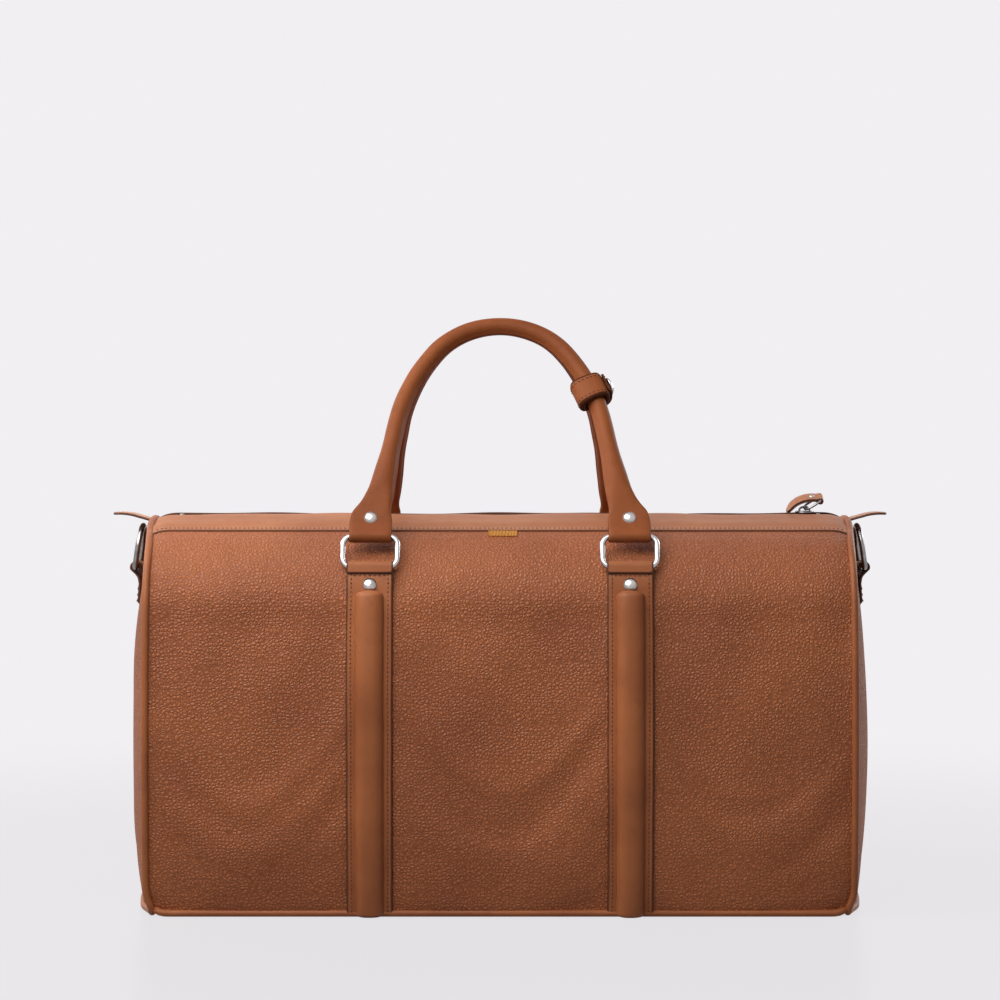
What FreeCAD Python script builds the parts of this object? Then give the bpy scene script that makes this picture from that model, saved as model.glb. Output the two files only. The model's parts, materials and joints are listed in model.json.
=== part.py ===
import FreeCAD, Part
import math
import os
import re

# Weekender bag: pebbled leather panels, rolled handles on metal rings, a metal zip along the top.
# Millimetres. +X runs along the bag to the right, -Y is the front, +Z is up.
# The origin is on the floor, under the middle of the bag.

vector = FreeCAD.Vector
rotation = FreeCAD.Rotation
placement = FreeCAD.Placement

# Driving sizes. Each becomes a cell of the spreadsheet, under the same name.
driving = {
    # overall shape of the bag
    "half_length": 260,
    "half_depth": 125,
    "shoulder_top": 260.5,
    "crown_rise": 9.5,
    "wall_radius": 670,
    "waist_height": 110,
    "shoulder_radius": 62,
    "dome_radius": 500,
    "dome_height": 120,
    # clearance between sewn pieces, and thicknesses
    "gap": 0.3,
    "panel": 2.6,
    "band": 2.2,
    "base_sheet": 3,
    "board": 3,
    "lining": 0.8,
    "lining_room": 1.8,
    # piping
    "piping_out": 2.3,
    "piping_in": 2.7,
    "base_lip": 5,
    # top bands and zip
    "seam_half": 60,
    "band_edge": 9,
    "tape_half": 16,
    "tape": 0.8,
    "tooth_inner": 0.6,
    "tooth_outer": 3.6,
    "tooth_tall": 2,
    "zip_end_room": 36,
    "stop_length": 3,
    "mouth_half": 19,
    # straps on the front and rear panels
    "strap_x": 88,
    "strap_width": 29.5,
    "strap": 2.1,
    "rib_width": 19,
    "core_tall": 3.8,
    # rectangular rings
    "ring_wire": 3.8,
    "ring_room": 1.85,
    "ring_tall": 22.2,
    "ring_corner": 3.5,
    "ring_drop": 24,
    "ring_lean": 25,
    # rivets
    "rivet_head": 9,
    "rivet_rise": 2.2,
    "shank": 2.6,
    "rivet_room": 1.7,
    "burr": 0.9,
    "burr_width": 7,
    # handles
    "handle_reach": 173.7,
    "handle_room": 1,
    "handle_wire": 12,
    "handle_leather": 1.5,
    "top_turn": 53,
    "flank_turn": 27,
    "flank_radius": 140,
    "tab_room": 2.1,
    "tab_tall": 24,
    "neck_tall": 12,
    "tab_rivet_up": 14,
    # keeper on the front handle
    "keeper_turn": 22,
    "keeper_length": 19,
    "keeper_leather": 2.3,
    "flap_leather": 1.9,
    "flap_tip": 45,
    "flap_back": 110,
    "snap_width": 12.5,
    "snap_rise": 3,
    "stud_width": 3.2,
    "stud_tall": 1,
    # zip slider, puller and pull
    "slider_park": 2,
    "slider_length": 12,
    "slider_width": 9,
    "slider_plate": 1.6,
    "bail_wire": 1.6,
    "puller_wire": 1.6,
    "puller_reach": 13,
    "puller_room": 1,
    "puller_lift": 1.3,
    "puller_corner": 1.6,
    "puller_rise": 32,
    "pull_width": 9.4,
    "pull_leather": 2,
    "pull_radius": 20,
    "pull_lead": 5.5,
    "pull_turn": 72,
    # end tabs
    "end_tab_length": 33,
    "end_tab_width": 26,
    "end_tab_leather": 2.4,
    "end_tab_rise": 14,
    "end_tab_drop": 8.5,
    # D-rings and their loops
    "dee_wire": 4,
    "dee_room": 2,
    "dee_tall": 28,
    "dee_corner": 3,
    "dee_lean": 15,
    "dee_drop": 28.5,
    "dee_stand": 9.9,
    "loop_leather": 2.2,
    "loop_width": 26,
    "loop_tall": 28,
    # woven tab in the front seam
    "woven_width": 19,
    "woven_tall": 4.5,
    "woven_x": 2,
}

# Sizes that follow from the driving ones.
derived = {
    "shoulder_height": "shoulder_top - shoulder_radius",
    "crown_half": "half_depth - wall_radius + sqrt((wall_radius - shoulder_radius)^2"
                  " - (shoulder_height - waist_height)^2)",
    "crown_radius": "(crown_half^2 + crown_rise^2) / (2 * crown_rise)",
    "crown_top": "shoulder_top + crown_rise",
    "foot_half": "half_depth - wall_radius + sqrt(wall_radius^2 - waist_height^2)",
    "blend": "wall_radius / (wall_radius - shoulder_radius)",
    "blend_y": "half_depth - wall_radius + (wall_radius - half_depth + crown_half) * blend",
    "blend_z": "waist_height + (shoulder_height - waist_height) * blend",
    "dome_x": "half_length - dome_radius",
    "side_bottom": "base_lip + gap",
    "board_top": "base_sheet + gap + board",
    "zip_half": "half_length - zip_end_room",
    "ring_inner": "strap_width + 2 * ring_room",
    "ring_reach": "shoulder_radius + gap + strap + gap + ring_wire / 2",
    "rib_tall": "gap + core_tall + gap + strap",
    "fold_outer": "ring_wire / 2 + gap + strap",
    "ring_width": "ring_inner + ring_wire",
    "rivet_drop": "fold_outer + rivet_head / 2 + rivet_room",
    "rib_top_drop": "rivet_drop + rivet_head / 2",
    "fold_height": "rivet_drop + shank",
    "tab_width": "ring_inner - 2 * tab_room",
    "tab_outer": "ring_wire / 2 + gap + strap",
    "handle_apart": "handle_wire / 2 + handle_room",
    "handle_inner": "handle_wire / 2 - handle_leather",
    "turn": "top_turn + flank_turn",
    "top_radius": "(strap_x - flank_radius * (sin(turn) - sin(top_turn))"
                  " - (handle_reach - flank_radius * (cos(top_turn) - cos(turn))) * tan(90 - turn))"
                  " / (sin(top_turn) - (1 - cos(top_turn)) * tan(90 - turn))",
    "keeper_inner": "handle_wire / 2 + gap",
    "keeper_outer": "keeper_inner + keeper_leather",
    "flap_inner": "keeper_outer + gap",
    "flap_outer": "flap_inner + flap_leather",
    "slider_x": "zip_half - slider_length / 2 - slider_park",
    "slider_base": "crown_top + gap",
    "slider_top": "slider_base + slider_plate",
    "bail_radius": "bail_wire / 2 + puller_lift + puller_wire / 2 + gap",
    "puller_width": "pull_width + puller_wire + 2 * puller_room",
    "slider_under": "crown_top - gap - band - tape - gap",
    "dee_width": "loop_width + dee_wire + 2 * dee_room",
    "dee_height": "shoulder_top - dee_drop",
    "dee_x": "dome_x + sqrt(dome_radius^2 - (dee_height - dome_height)^2) + dee_stand",
    "end_tab_z": "crown_top - end_tab_drop",
    "end_tab_x": "dome_x + sqrt(dome_radius^2 - (end_tab_z - dome_height)^2)",
}

doc = FreeCAD.newDocument("weekender_bag")
sheet = doc.addObject("Spreadsheet::Sheet", "Sizes")
cell_names = list(driving) + list(derived)


def cells(text):
    """Point every size name in an expression at its spreadsheet cell."""
    return re.sub(r"[a-z_]+", lambda word: "Sizes." + word[0] if word[0] in cell_names else word[0], text)


for row, name in enumerate(cell_names, start=1):
    sheet.set(f"A{row}", name)
    sheet.set(f"B{row}", str(driving[name]) if name in driving else "=" + derived[name])
    sheet.setAlias(f"B{row}", name)
doc.recompute()


def size(name):
    return float(sheet.get(name))


nodes = []


def node(item, label):
    """Name an object as a finished piece of the bag."""
    item.Label = label
    nodes.append(item)
    return item


def make(kind, name, **sizes):
    """Add a Part object whose sizes are bound to the spreadsheet."""
    item = doc.addObject(kind, name)
    for prop, text in sizes.items():
        item.setExpression(prop.replace("__", "."), cells(str(text)))
    return item


def box(name, x, y, z):
    """A box between three pairs of planes, each plane given as an expression."""
    return make("Part::Box", name,
                Length=f"({x[1]}) - ({x[0]})", Width=f"({y[1]}) - ({y[0]})", Height=f"({z[1]}) - ({z[0]})",
                Placement__Base__x=x[0], Placement__Base__y=y[0], Placement__Base__z=z[0])


def at(x, y, z):
    """Bindings that place a primitive at a point given by expressions."""
    return {"Placement__Base__x": x, "Placement__Base__y": y, "Placement__Base__z": z}


def turned(item, axis, degrees):
    """Turn a primitive in place. Its bound position stays."""
    item.Placement = placement(item.Placement.Base, rotation(vector(*axis), degrees))
    return item


def common(name, *items):
    item = doc.addObject("Part::MultiCommon", name)
    item.Shapes = list(items)
    return item


def fuse(name, *items):
    item = doc.addObject("Part::MultiFuse", name)
    item.Shapes = list(items)
    return item


def cut(name, base, tool):
    item = doc.addObject("Part::Cut", name)
    item.Base = base
    item.Tool = tool
    return item


def group(name, items):
    item = doc.addObject("Part::Compound", name)
    item.Links = list(items)
    return item


# ---- the outer section of the bag, seen from its end ----

along_x = rotation(vector(1, 1, 1), 120)
upright = rotation(vector(1, 0, 0), 90)
far = "half_length * 2"


def arc_through(centre, start, end):
    """The shorter arc from start to end about a centre, in a sketch's plane."""
    middle = (start - centre + end - centre).normalize() * (start - centre).Length + centre
    return Part.Arc(start, middle, end)


def draw_section():
    """Wall arc, shoulder arc and crown, mirrored, standing on a straight skirt below the floor."""
    skirt = -20
    foot = vector(-size("foot_half"), 0, 0)
    blend = vector(-size("blend_y"), size("blend_z"), 0)
    crown = vector(-size("crown_half"), size("shoulder_top"), 0)
    wall_centre = vector(size("wall_radius") - size("half_depth"), size("waist_height"), 0)
    shoulder_centre = vector(-size("crown_half"), size("shoulder_height"), 0)
    crown_centre = vector(0, size("crown_top") - size("crown_radius"), 0)

    def mirrored(point):
        return vector(-point.x, point.y, 0)

    section = doc.addObject("Sketcher::SketchObject", "section")
    section.Placement = placement(vector(0, 0, 0), along_x)
    section.addGeometry([
        arc_through(wall_centre, foot, blend),
        arc_through(shoulder_centre, blend, crown),
        arc_through(crown_centre, crown, mirrored(crown)),
        arc_through(mirrored(shoulder_centre), mirrored(crown), mirrored(blend)),
        arc_through(mirrored(wall_centre), mirrored(blend), mirrored(foot)),
        Part.LineSegment(mirrored(foot), vector(-foot.x, skirt, 0)),
        Part.LineSegment(vector(-foot.x, skirt, 0), vector(foot.x, skirt, 0)),
        Part.LineSegment(vector(foot.x, skirt, 0), foot),
    ], False)
    return section


section = draw_section()
doc.recompute()
prisms = {}
domes = {}


def prism(offset):
    """The section grown by an offset and run along the whole length of the bag."""
    if offset not in prisms:
        outline = section
        if offset != "0":
            outline = make("Part::Offset2D", f"outline_{len(prisms)}", Value=offset)
            outline.Source = section
            outline.Join = 0
        run = make("Part::Extrusion", f"prism_{len(prisms)}", LengthFwd=f"{far} + 80")
        run.Base = outline
        run.DirMode = "Custom"
        run.Dir = vector(1, 0, 0)
        run.Symmetric = True
        run.Solid = True
        prisms[offset] = run
    return prisms[offset]


def dome(side, offset):
    """The ball that one end panel lies on, grown by an offset. side is 1 at the right end."""
    key = (side, offset)
    if key not in domes:
        domes[key] = make("Part::Sphere", f"dome_{len(domes)}", Radius=f"dome_radius + ({offset})",
                          **at(f"dome_x * {side}", "0", "dome_height"))
    return domes[key]


def envelope(name, offset, inward=None):
    """Everything inside the section and both domes, grown by an offset."""
    inward = inward or offset
    return common(name, prism(offset), dome(1, inward), dome(-1, inward))


def shell(name, outer, inner):
    return cut(name, prism(outer), prism(inner))


def between_domes(name, side, outer, inner):
    return cut(name, dome(side, outer), dome(side, inner))


def half(side, low, high):
    """A pair of planes on one side of the middle."""
    return (low, high) if side > 0 else (f"-({high})", f"-({low})")


sew = "-(piping_in + gap)"
whole_x = (f"-{far}", far)
whole_y = (f"-{far}", far)


# ---- panels, bands, piping and lining ----

def make_panels():
    wall = shell("wall", "0", "-panel")
    inside = common("panel_ends", dome(1, sew), dome(-1, sew))
    for side, name in ((-1, "front"), (1, "rear")):
        reach = box(f"{name}_panel_reach", whole_x, half(side, "seam_half", far), ("side_bottom", far))
        panel = common(f"{name}_panel_blank", wall, inside, reach)
        holes = [rivet_hole(f"{name}_panel_hole_{end}", side, end) for end in (-1, 1)]
        node(cut(f"{name}_panel_cut", panel, group(f"{name}_panel_holes", holes)), f"{name}_panel")
    for side, name in ((-1, "left"), (1, "right")):
        skin = between_domes(f"{name}_end_skin", side, "0", "-panel")
        reach = box(f"{name}_end_reach", half(side, "0", far), whole_y, ("side_bottom", far))
        node(common(f"{name}_end", skin, prism(sew), reach), f"{name}_end_panel")


def make_bands():
    sheet_shell = shell("band_sheet", "0", "-band")
    inside = common("band_ends", dome(1, sew), dome(-1, sew))
    for side, name in ((-1, "front"), (1, "rear")):
        reach = box(f"{name}_band_reach", whole_x, half(side, "band_edge", "seam_half - gap"),
                    ("shoulder_height", far))
        node(common(f"{name}_band", sheet_shell, inside, reach), f"{name}_zip_band")


def make_piping():
    rim = shell("rim", "piping_out", "-piping_in")
    for side, name in ((-1, "left"), (1, "right")):
        layer = between_domes(f"{name}_piping_layer", side, "piping_out", "-piping_in")
        reach = box(f"{name}_piping_reach", half(side, "0", far), whole_y, ("side_bottom", far))
        node(common(f"{name}_piping_ring", rim, layer, reach), f"{name}_piping")


def make_base():
    outer = envelope("base_outer", "piping_out")
    inner = envelope("base_inner", "-piping_in")
    lip = box("base_lip_slab", whole_x, whole_y, ("0", "base_lip"))
    node(common("base_ring", cut("base_rim", outer, inner), lip), "base_piping")
    floor = box("base_slab", whole_x, whole_y, ("0", "base_sheet"))
    node(common("base_sheet_piece", envelope("base_plan", sew), floor), "base_panel")
    plate = box("board_slab", whole_x, whole_y, ("base_sheet + gap", "board_top"))
    plan = envelope("board_plan", "-(panel + lining_room)")
    node(common("board_piece", plan, plate), "base_board")


def make_lining():
    outer = common("lining_outer", envelope("lining_plan", "-(panel + lining_room)"),
                   box("lining_from", whole_x, whole_y, ("board_top + gap", far)))
    inner = common("lining_inner", envelope("lining_hollow", "-(panel + lining_room + lining)"),
                   box("hollow_from", whole_x, whole_y, ("board_top + gap + lining", far)))
    mouth = box("mouth", whole_x, ("-mouth_half", "mouth_half"), ("shoulder_height", far))
    node(cut("lining_open", cut("lining_bag", outer, inner), mouth), "lining")


# ---- zip ----

def make_zip_track():
    tape = shell("tape_sheet", "-(band + gap)", "-(band + gap + tape)")
    teeth = shell("tooth_sheet", "-(band + gap - gap - tooth_tall)", "-band")
    inside = common("tape_ends", dome(1, sew), dome(-1, sew))
    for side, name in ((-1, "front"), (1, "rear")):
        reach = box(f"{name}_tape_reach", whole_x, half(side, "tooth_inner + 1", "tape_half"),
                    ("shoulder_height", far))
        node(common(f"{name}_tape", tape, inside, reach), f"{name}_zip_tape")
        reach = box(f"{name}_teeth_reach", ("-zip_half", "zip_half"),
                    half(side, "tooth_inner", "tooth_outer"), ("shoulder_height", far))
        node(common(f"{name}_teeth", teeth, reach), f"{name}_zip_teeth")
    stops = [box(f"zip_stop_{side}", half(side, "zip_half + gap", "zip_half + gap + stop_length"),
                 ("-tooth_outer", "tooth_outer"), ("crown_top - band + gap", "crown_top"))
             for side in (-1, 1)]
    node(group("stops", stops), "zip_stops")


def make_slider():
    """Two plates joined by a thin web between the tooth rows, with a bail on top."""
    x = ("slider_x - slider_length / 2", "slider_x + slider_length / 2")
    y = ("-slider_width / 2", "slider_width / 2")
    web = ("-(tooth_inner - gap)", "tooth_inner - gap")
    upper = box("slider_upper", x, y, ("slider_base", "slider_top"))
    lower = box("slider_lower", x, y, ("slider_under - slider_plate", "slider_under"))
    middle = box("slider_web", x, web, ("slider_under - slider_plate / 2", "slider_top - slider_plate / 2"))
    bail = make("Part::Torus", "bail", Radius1="bail_radius", Radius2="bail_wire / 2", Angle3="180",
                **at("slider_x", "0", "slider_top"))
    turned(bail, (1, 0, 0), 90)
    node(fuse("slider_body", upper, lower, middle, bail), "zip_slider")


def wire_ring(name, label, half_width, tall, corner, wire, crown=None):
    """A closed ring of round wire: a bar along X at the bottom, the rest above it in +Y.

    The far side is a bar with round corners, or a half circle when crown is true.
    """
    a = size(half_width) / 2
    b = size(tall)
    c = size(corner)
    corners = [
        (vector(a - c, c, 0), -90, 0),
        (vector(a - c, b - c, 0), 0, 90),
        (vector(c - a, b - c, 0), 90, 180),
        (vector(c - a, c, 0), 180, 270),
    ]
    if crown:
        corners[1:3] = [(vector(0, b - a, 0), 0, 180)]
    arcs = []
    for index, (centre, start, end) in enumerate(corners):
        radius = a if crown and index == 1 else c
        circle = Part.Circle(centre, vector(0, 0, 1), radius)
        arcs.append(Part.ArcOfCircle(circle, math.radians(start), math.radians(end)))
    path = doc.addObject("Sketcher::SketchObject", f"{name}_path")
    route = []
    for index, arc in enumerate(arcs):
        route.append(arc)
        following = arcs[(index + 1) % len(arcs)]
        if arc.EndPoint.distanceToPoint(following.StartPoint) > 1e-6:
            route.append(Part.LineSegment(arc.EndPoint, following.StartPoint))
    path.addGeometry(route, False)
    # start the sweep at the middle of the ring's right side, where the path runs along Y
    ring = make("Part::Circle", f"{name}_wire", Radius=f"{wire} / 2")
    ring.Placement = placement(vector(a, c, 0), rotation(vector(1, 0, 0), -90))
    sweep = doc.addObject("Part::Sweep", f"{name}_sweep")
    sweep.Sections = [ring]
    sweep.Spine = (path, [f"Edge{number + 1}" for number in range(len(route))])
    sweep.Solid = True
    sweep.Frenet = False
    return node(sweep, label)


def puller_place():
    """The puller's bar lies in the bail, its far end raised to the right."""
    rise = rotation(vector(0, 1, 0), -size("puller_rise"))
    flat = rotation(vector(0, 0, 1), -90)
    return placement(vector(size("slider_x"), 0, size("slider_top") + size("puller_lift")), rise * flat)


def make_puller():
    ring = wire_ring("puller", "zip_puller", "puller_width", "puller_reach", "puller_corner", "puller_wire")
    ring.Placement = puller_place()
    far_bar = puller_place().multVec(vector(0, size("puller_reach"), 0))
    # the leather pull arches left from the far bar, over the slider
    lead = math.degrees(math.acos(size("pull_lead") / size("pull_radius")))
    arch = far_bar - vector(math.cos(math.radians(lead)), 0, math.sin(math.radians(lead))) * size("pull_radius")

    def rod(name, radius, centre):
        drum = make("Part::Cylinder", name, Radius=radius, Height="pull_width")
        drum.Placement = placement(vector(centre.x, size("pull_width") / 2, centre.z), upright)
        return drum

    def sector(name, radius):
        drum = make("Part::Cylinder", name, Radius=radius, Height="pull_width", Angle="pull_turn")
        drum.Placement = placement(vector(arch.x, size("pull_width") / 2, arch.z),
                                   upright * rotation(vector(0, 0, 1), lead))
        return drum

    strip = cut("pull_strip", sector("pull_outer", "pull_radius + pull_leather / 2"),
                rod("pull_inner", "pull_radius - pull_leather / 2", arch))
    eye = rod("pull_eye", "puller_wire / 2 + gap + pull_leather * 0.7", far_bar)
    hole = rod("pull_hole", "puller_wire / 2 + gap", far_bar)
    node(cut("pull_piece", fuse("pull_blank", strip, eye), hole), "pull_tab")


# ---- rivets ----

def on_shoulder(height, radius):
    """A point over the front shoulder arc at a height, and the turn that points +Z outward there."""
    rise = math.asin((height - size("shoulder_height")) / radius)
    y = -size("crown_half") - radius * math.cos(rise)
    return vector(0, y, height), math.degrees(rise)


def ring_low():
    """Centre line of a front ring's lower bar, at X 0."""
    reach = size("ring_reach")
    height = size("shoulder_top") - size("ring_drop")
    return on_shoulder(height, reach)[0]


def ring_high():
    """Centre line of a front ring's upper bar, at X 0."""
    lean = math.radians(size("ring_lean"))
    return ring_low() + vector(0, math.sin(lean), math.cos(lean)) * size("ring_tall")


def mirror_side(side):
    """Front pieces are built as they are, rear ones turned half round the Z axis."""
    return placement(vector(0, 0, 0), rotation(vector(0, 0, 1), 0 if side < 0 else 180))


def rivet_place(side, end, radius):
    """A rivet's seat: +Z of the rivet points out of the strap."""
    height = ring_low().z - size("rivet_drop")
    seat, rise = on_shoulder(height, size("shoulder_radius"))
    out = vector(0, -math.cos(math.radians(rise)), math.sin(math.radians(rise)))
    centre = vector(0, -size("crown_half"), size("shoulder_height")) + out * radius
    centre.x = size("strap_x") * end
    return mirror_side(side) * placement(centre, rotation(vector(0, 0, 1), out))


def rivet_hole(name, side, end):
    hole = make("Part::Cylinder", name, Radius="shank / 2 + 0.1", Height="40")
    hole.Placement = rivet_place(side, end, size("shoulder_radius") - 20)
    return hole


def rivet_head(name):
    """A domed cap, standing on Z 0."""
    ball = "((rivet_head / 2)^2 + rivet_rise^2) / (2 * rivet_rise)"
    globe = make("Part::Sphere", f"{name}_ball", Radius=ball, **at("0", "0", f"rivet_rise - {ball}"))
    slab = make("Part::Cylinder", f"{name}_slab", Radius="rivet_head", Height="rivet_rise")
    return common(f"{name}_cap", globe, slab)


def make_strap_rivets():
    heads = []
    burrs = []
    seat = size("shoulder_radius") + size("gap") + 2 * size("strap") + size("gap")
    tail = size("shoulder_radius") - size("panel") - size("gap") - size("burr")
    for side, row in ((-1, "front"), (1, "rear")):
        for end, place in ((-1, "left"), (1, "right")):
            name = f"{row}_{place}_rivet"
            pin = make("Part::Cylinder", f"{name}_pin", Radius="shank / 2", Height=str(seat - tail),
                       **at("0", "0", str(tail - seat)))
            head = fuse(name, rivet_head(name), pin)
            head.Placement = rivet_place(side, end, seat)
            heads.append(head)
            disc = make("Part::Cylinder", f"{name}_disc", Radius="burr_width / 2", Height="burr")
            bore = make("Part::Cylinder", f"{name}_bore", Radius="shank / 2 + 0.05", Height="burr * 3",
                        **at("0", "0", "-burr"))
            burr = cut(f"{name}_burr", disc, bore)
            burr.Placement = rivet_place(side, end, tail)
            burrs.append(burr)
    node(group("rivets", heads), "strap_rivets")
    node(group("burrs", burrs), "strap_rivet_burrs")


# ---- straps ----

def make_straps():
    flat = shell("strap_flat", "gap + strap", "gap")
    double = shell("strap_double", "gap + 2 * strap", "gap")
    raised = shell("strap_raised", "rib_tall", "gap")
    hollow = shell("strap_hollow", "gap + core_tall + gap", "gap")
    filling = shell("strap_filling", "gap + core_tall", "gap")
    low = ring_low()
    top = str(round(low.z, 3))
    for side, row in ((-1, "front"), (1, "rear")):
        y = half(side, "crown_half", far)
        for end, place in ((-1, "left"), (1, "right")):
            name = f"{row}_{place}_strap"
            centre = f"strap_x * {end}"

            def slab(part, width, z):
                x = (f"{centre} - ({width}) / 2", f"{centre} + ({width}) / 2")
                return box(f"{name}_{part}", x, y, z)

            rib_top = f"{top} - rib_top_drop"
            body = common(f"{name}_body", flat, slab("reach", "strap_width", ("side_bottom", top)))
            fold = common(f"{name}_fold", double, slab("fold_reach", "strap_width", (f"{top} - fold_height", top)))
            rib = common(f"{name}_rib", raised, slab("rib_reach", "rib_width", ("side_bottom", rib_top)))
            room = common(f"{name}_room", hollow,
                          slab("room_reach", "rib_width - 2 * strap", ("side_bottom - 1", f"{rib_top} - strap")))
            core = common(f"{name}_filler", filling,
                          slab("core_reach", "rib_width - 2 * strap - 2 * gap",
                               ("side_bottom", f"{rib_top} - strap - gap")))
            eye = make("Part::Cylinder", f"{name}_eye", Radius="fold_outer", Height="strap_width")
            hole = make("Part::Cylinder", f"{name}_bar_hole", Radius="ring_wire / 2 + gap", Height="strap_width + 2")
            for drum, length in ((eye, size("strap_width")), (hole, size("strap_width") + 2)):
                start = vector(end * size("strap_x") - length / 2, -side * low.y, low.z)
                drum.Placement = placement(start, rotation(vector(0, 1, 0), 90))
            solid = fuse(f"{name}_blank", body, fold, rib, eye)
            tools = group(f"{name}_tools", [room, hole, rivet_hole(f"{name}_pin_hole", side, end * -side)])
            node(cut(f"{name}_piece", solid, tools), name)
            node(core, f"{name}_core")


def make_rings():
    lean = 90 - size("ring_lean")
    for side, row in ((-1, "front"), (1, "rear")):
        for end, place in ((-1, "left"), (1, "right")):
            name = f"{row}_{place}_ring"
            ring = wire_ring(name, name, "ring_width", "ring_tall", "ring_corner", "ring_wire")
            seat = ring_low()
            seat.x = size("strap_x") * end * -side
            ring.Placement = mirror_side(side) * placement(seat, rotation(vector(1, 0, 0), lean))


# ---- handles ----

def handle_place(side):
    """A handle's own frame: X along the bag, Y up the handle, the origin between its two rings."""
    base = ring_high()
    lean = math.degrees(math.asin((-base.y - size("handle_apart")) / size("handle_reach")))
    return mirror_side(side) * placement(base, rotation(vector(1, 0, 0), 90 - lean))


def draw_arch(name, start):
    """Centre line of a handle: straight legs, flank arcs and a top arc, tangent to each other."""
    top = size("top_radius")
    flank = size("flank_radius")
    turn = math.radians(size("turn"))
    bend = math.radians(size("top_turn"))
    apex = size("handle_reach")

    def on_circle(centre, radius, angle):
        return vector(centre.x + radius * math.sin(angle), centre.y + radius * math.cos(angle), 0)

    top_centre = vector(0, apex - top, 0)
    shoulder = on_circle(top_centre, top, bend)
    flank_centre = on_circle(shoulder, -flank, bend)
    hip = on_circle(flank_centre, flank, turn)
    foot = vector(hip.x + (hip.y - start) / math.tan(turn), start, 0)

    def mirrored(point):
        return vector(-point.x, point.y, 0)

    path = doc.addObject("Sketcher::SketchObject", f"{name}_path")
    path.addGeometry([
        Part.LineSegment(mirrored(foot), mirrored(hip)),
        Part.Arc(mirrored(hip), mirrored(on_circle(flank_centre, flank, (turn + bend) / 2)), mirrored(shoulder)),
        Part.Arc(mirrored(shoulder), vector(0, apex, 0), shoulder),
        Part.Arc(shoulder, on_circle(flank_centre, flank, (turn + bend) / 2), hip),
        Part.LineSegment(hip, foot),
    ], False)
    return path, mirrored(foot), mirrored(hip) - mirrored(foot), flank_centre


def arch(name, start, radius):
    """Round bar along the handle's centre line, both feet at the height start."""
    path, foot, heading, _ = draw_arch(name, start)
    ring = make("Part::Circle", f"{name}_ring", Radius=radius)
    ring.Placement = placement(foot, rotation(vector(0, 0, 1), heading))
    sweep = doc.addObject("Part::Sweep", f"{name}_sweep")
    sweep.Sections = [ring]
    sweep.Spine = (path, [f"Edge{number}" for number in range(1, 6)])
    sweep.Solid = True
    sweep.Frenet = False
    return sweep


def make_tab(name, end):
    """The flattened end of a handle: an eye round the ring's bar, a flat tab and a tapering neck."""
    centre = f"strap_x * {end}"
    x = (f"{centre} - tab_width / 2", f"{centre} + tab_width / 2")
    plate = box(f"{name}_plate", x, ("0", "tab_tall"), ("-strap", "strap"))
    eye = make("Part::Cylinder", f"{name}_eye", Radius="tab_outer", Height="tab_width",
               **at(x[0], "0", "0"))
    turned(eye, (0, 1, 0), 90)
    grip = "handle_wire * 0.35"
    shift = f"(tab_tall + neck_tall) / tan(turn) * {end}"
    neck = make("Part::Wedge", f"{name}_neck", Xmin=x[0], Xmax=x[1], Ymin="tab_tall", Zmin="-strap",
                Zmax="strap", Ymax="tab_tall + neck_tall", X2min=f"{centre} - {shift} - {grip}",
                X2max=f"{centre} - {shift} + {grip}", Z2min=f"-{grip}", Z2max=grip)
    return [plate, eye, neck]


def make_handle(side, row):
    place = handle_place(side)
    neck_top = size("tab_tall") + size("neck_tall") * 0.4
    hollow_start = size("tab_tall") + size("neck_tall")
    pieces = [arch(f"{row}_handle_outer", neck_top, "handle_wire / 2")]
    holes = [arch(f"{row}_handle_hollow", hollow_start, "handle_inner")]
    studs = []
    for end in (-1, 1):
        name = f"{row}_tab_{'left' if end < 0 else 'right'}"
        pieces += make_tab(name, end)
        bar = make("Part::Cylinder", f"{name}_bar_hole", Radius="ring_wire / 2 + gap", Height="tab_width + 2",
                   **at(f"strap_x * {end} - tab_width / 2 - 1", "0", "0"))
        holes.append(turned(bar, (0, 1, 0), 90))
        seat = at(f"strap_x * {end}", "tab_rivet_up", "-strap - 1")
        holes.append(make("Part::Cylinder", f"{name}_pin_hole", Radius="shank / 2 + 0.1",
                          Height="2 * strap + 2", **seat))
        pin = make("Part::Cylinder", f"{name}_pin", Radius="shank / 2", Height="2 * (strap + gap)",
                   **at("0", "0", "-(strap + gap)"))
        front_cap = rivet_head(f"{name}_front")
        back_cap = rivet_head(f"{name}_back")
        lift = size("strap") + size("gap")
        front_cap.Placement = placement(vector(0, 0, lift), rotation())
        back_cap.Placement = placement(vector(0, 0, -lift), rotation(vector(1, 0, 0), 180))
        stud = fuse(f"{name}_rivet", front_cap, back_cap, pin)
        stud.Placement = place * placement(vector(size("strap_x") * end, size("tab_rivet_up"), 0), rotation())
        studs.append(stud)
    leather = cut(f"{row}_handle_piece", fuse(f"{row}_handle_blank", *pieces), group(f"{row}_handle_tools", holes))
    leather.Placement = place
    node(leather, f"{row}_handle")
    rope = arch(f"{row}_rope", hollow_start + 1, "handle_inner - gap")
    rope.Placement = place
    node(rope, f"{row}_handle_core")
    node(group(f"{row}_studs", studs), f"{row}_handle_rivets")


# ---- keeper on the right leg of the front handle ----

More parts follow.
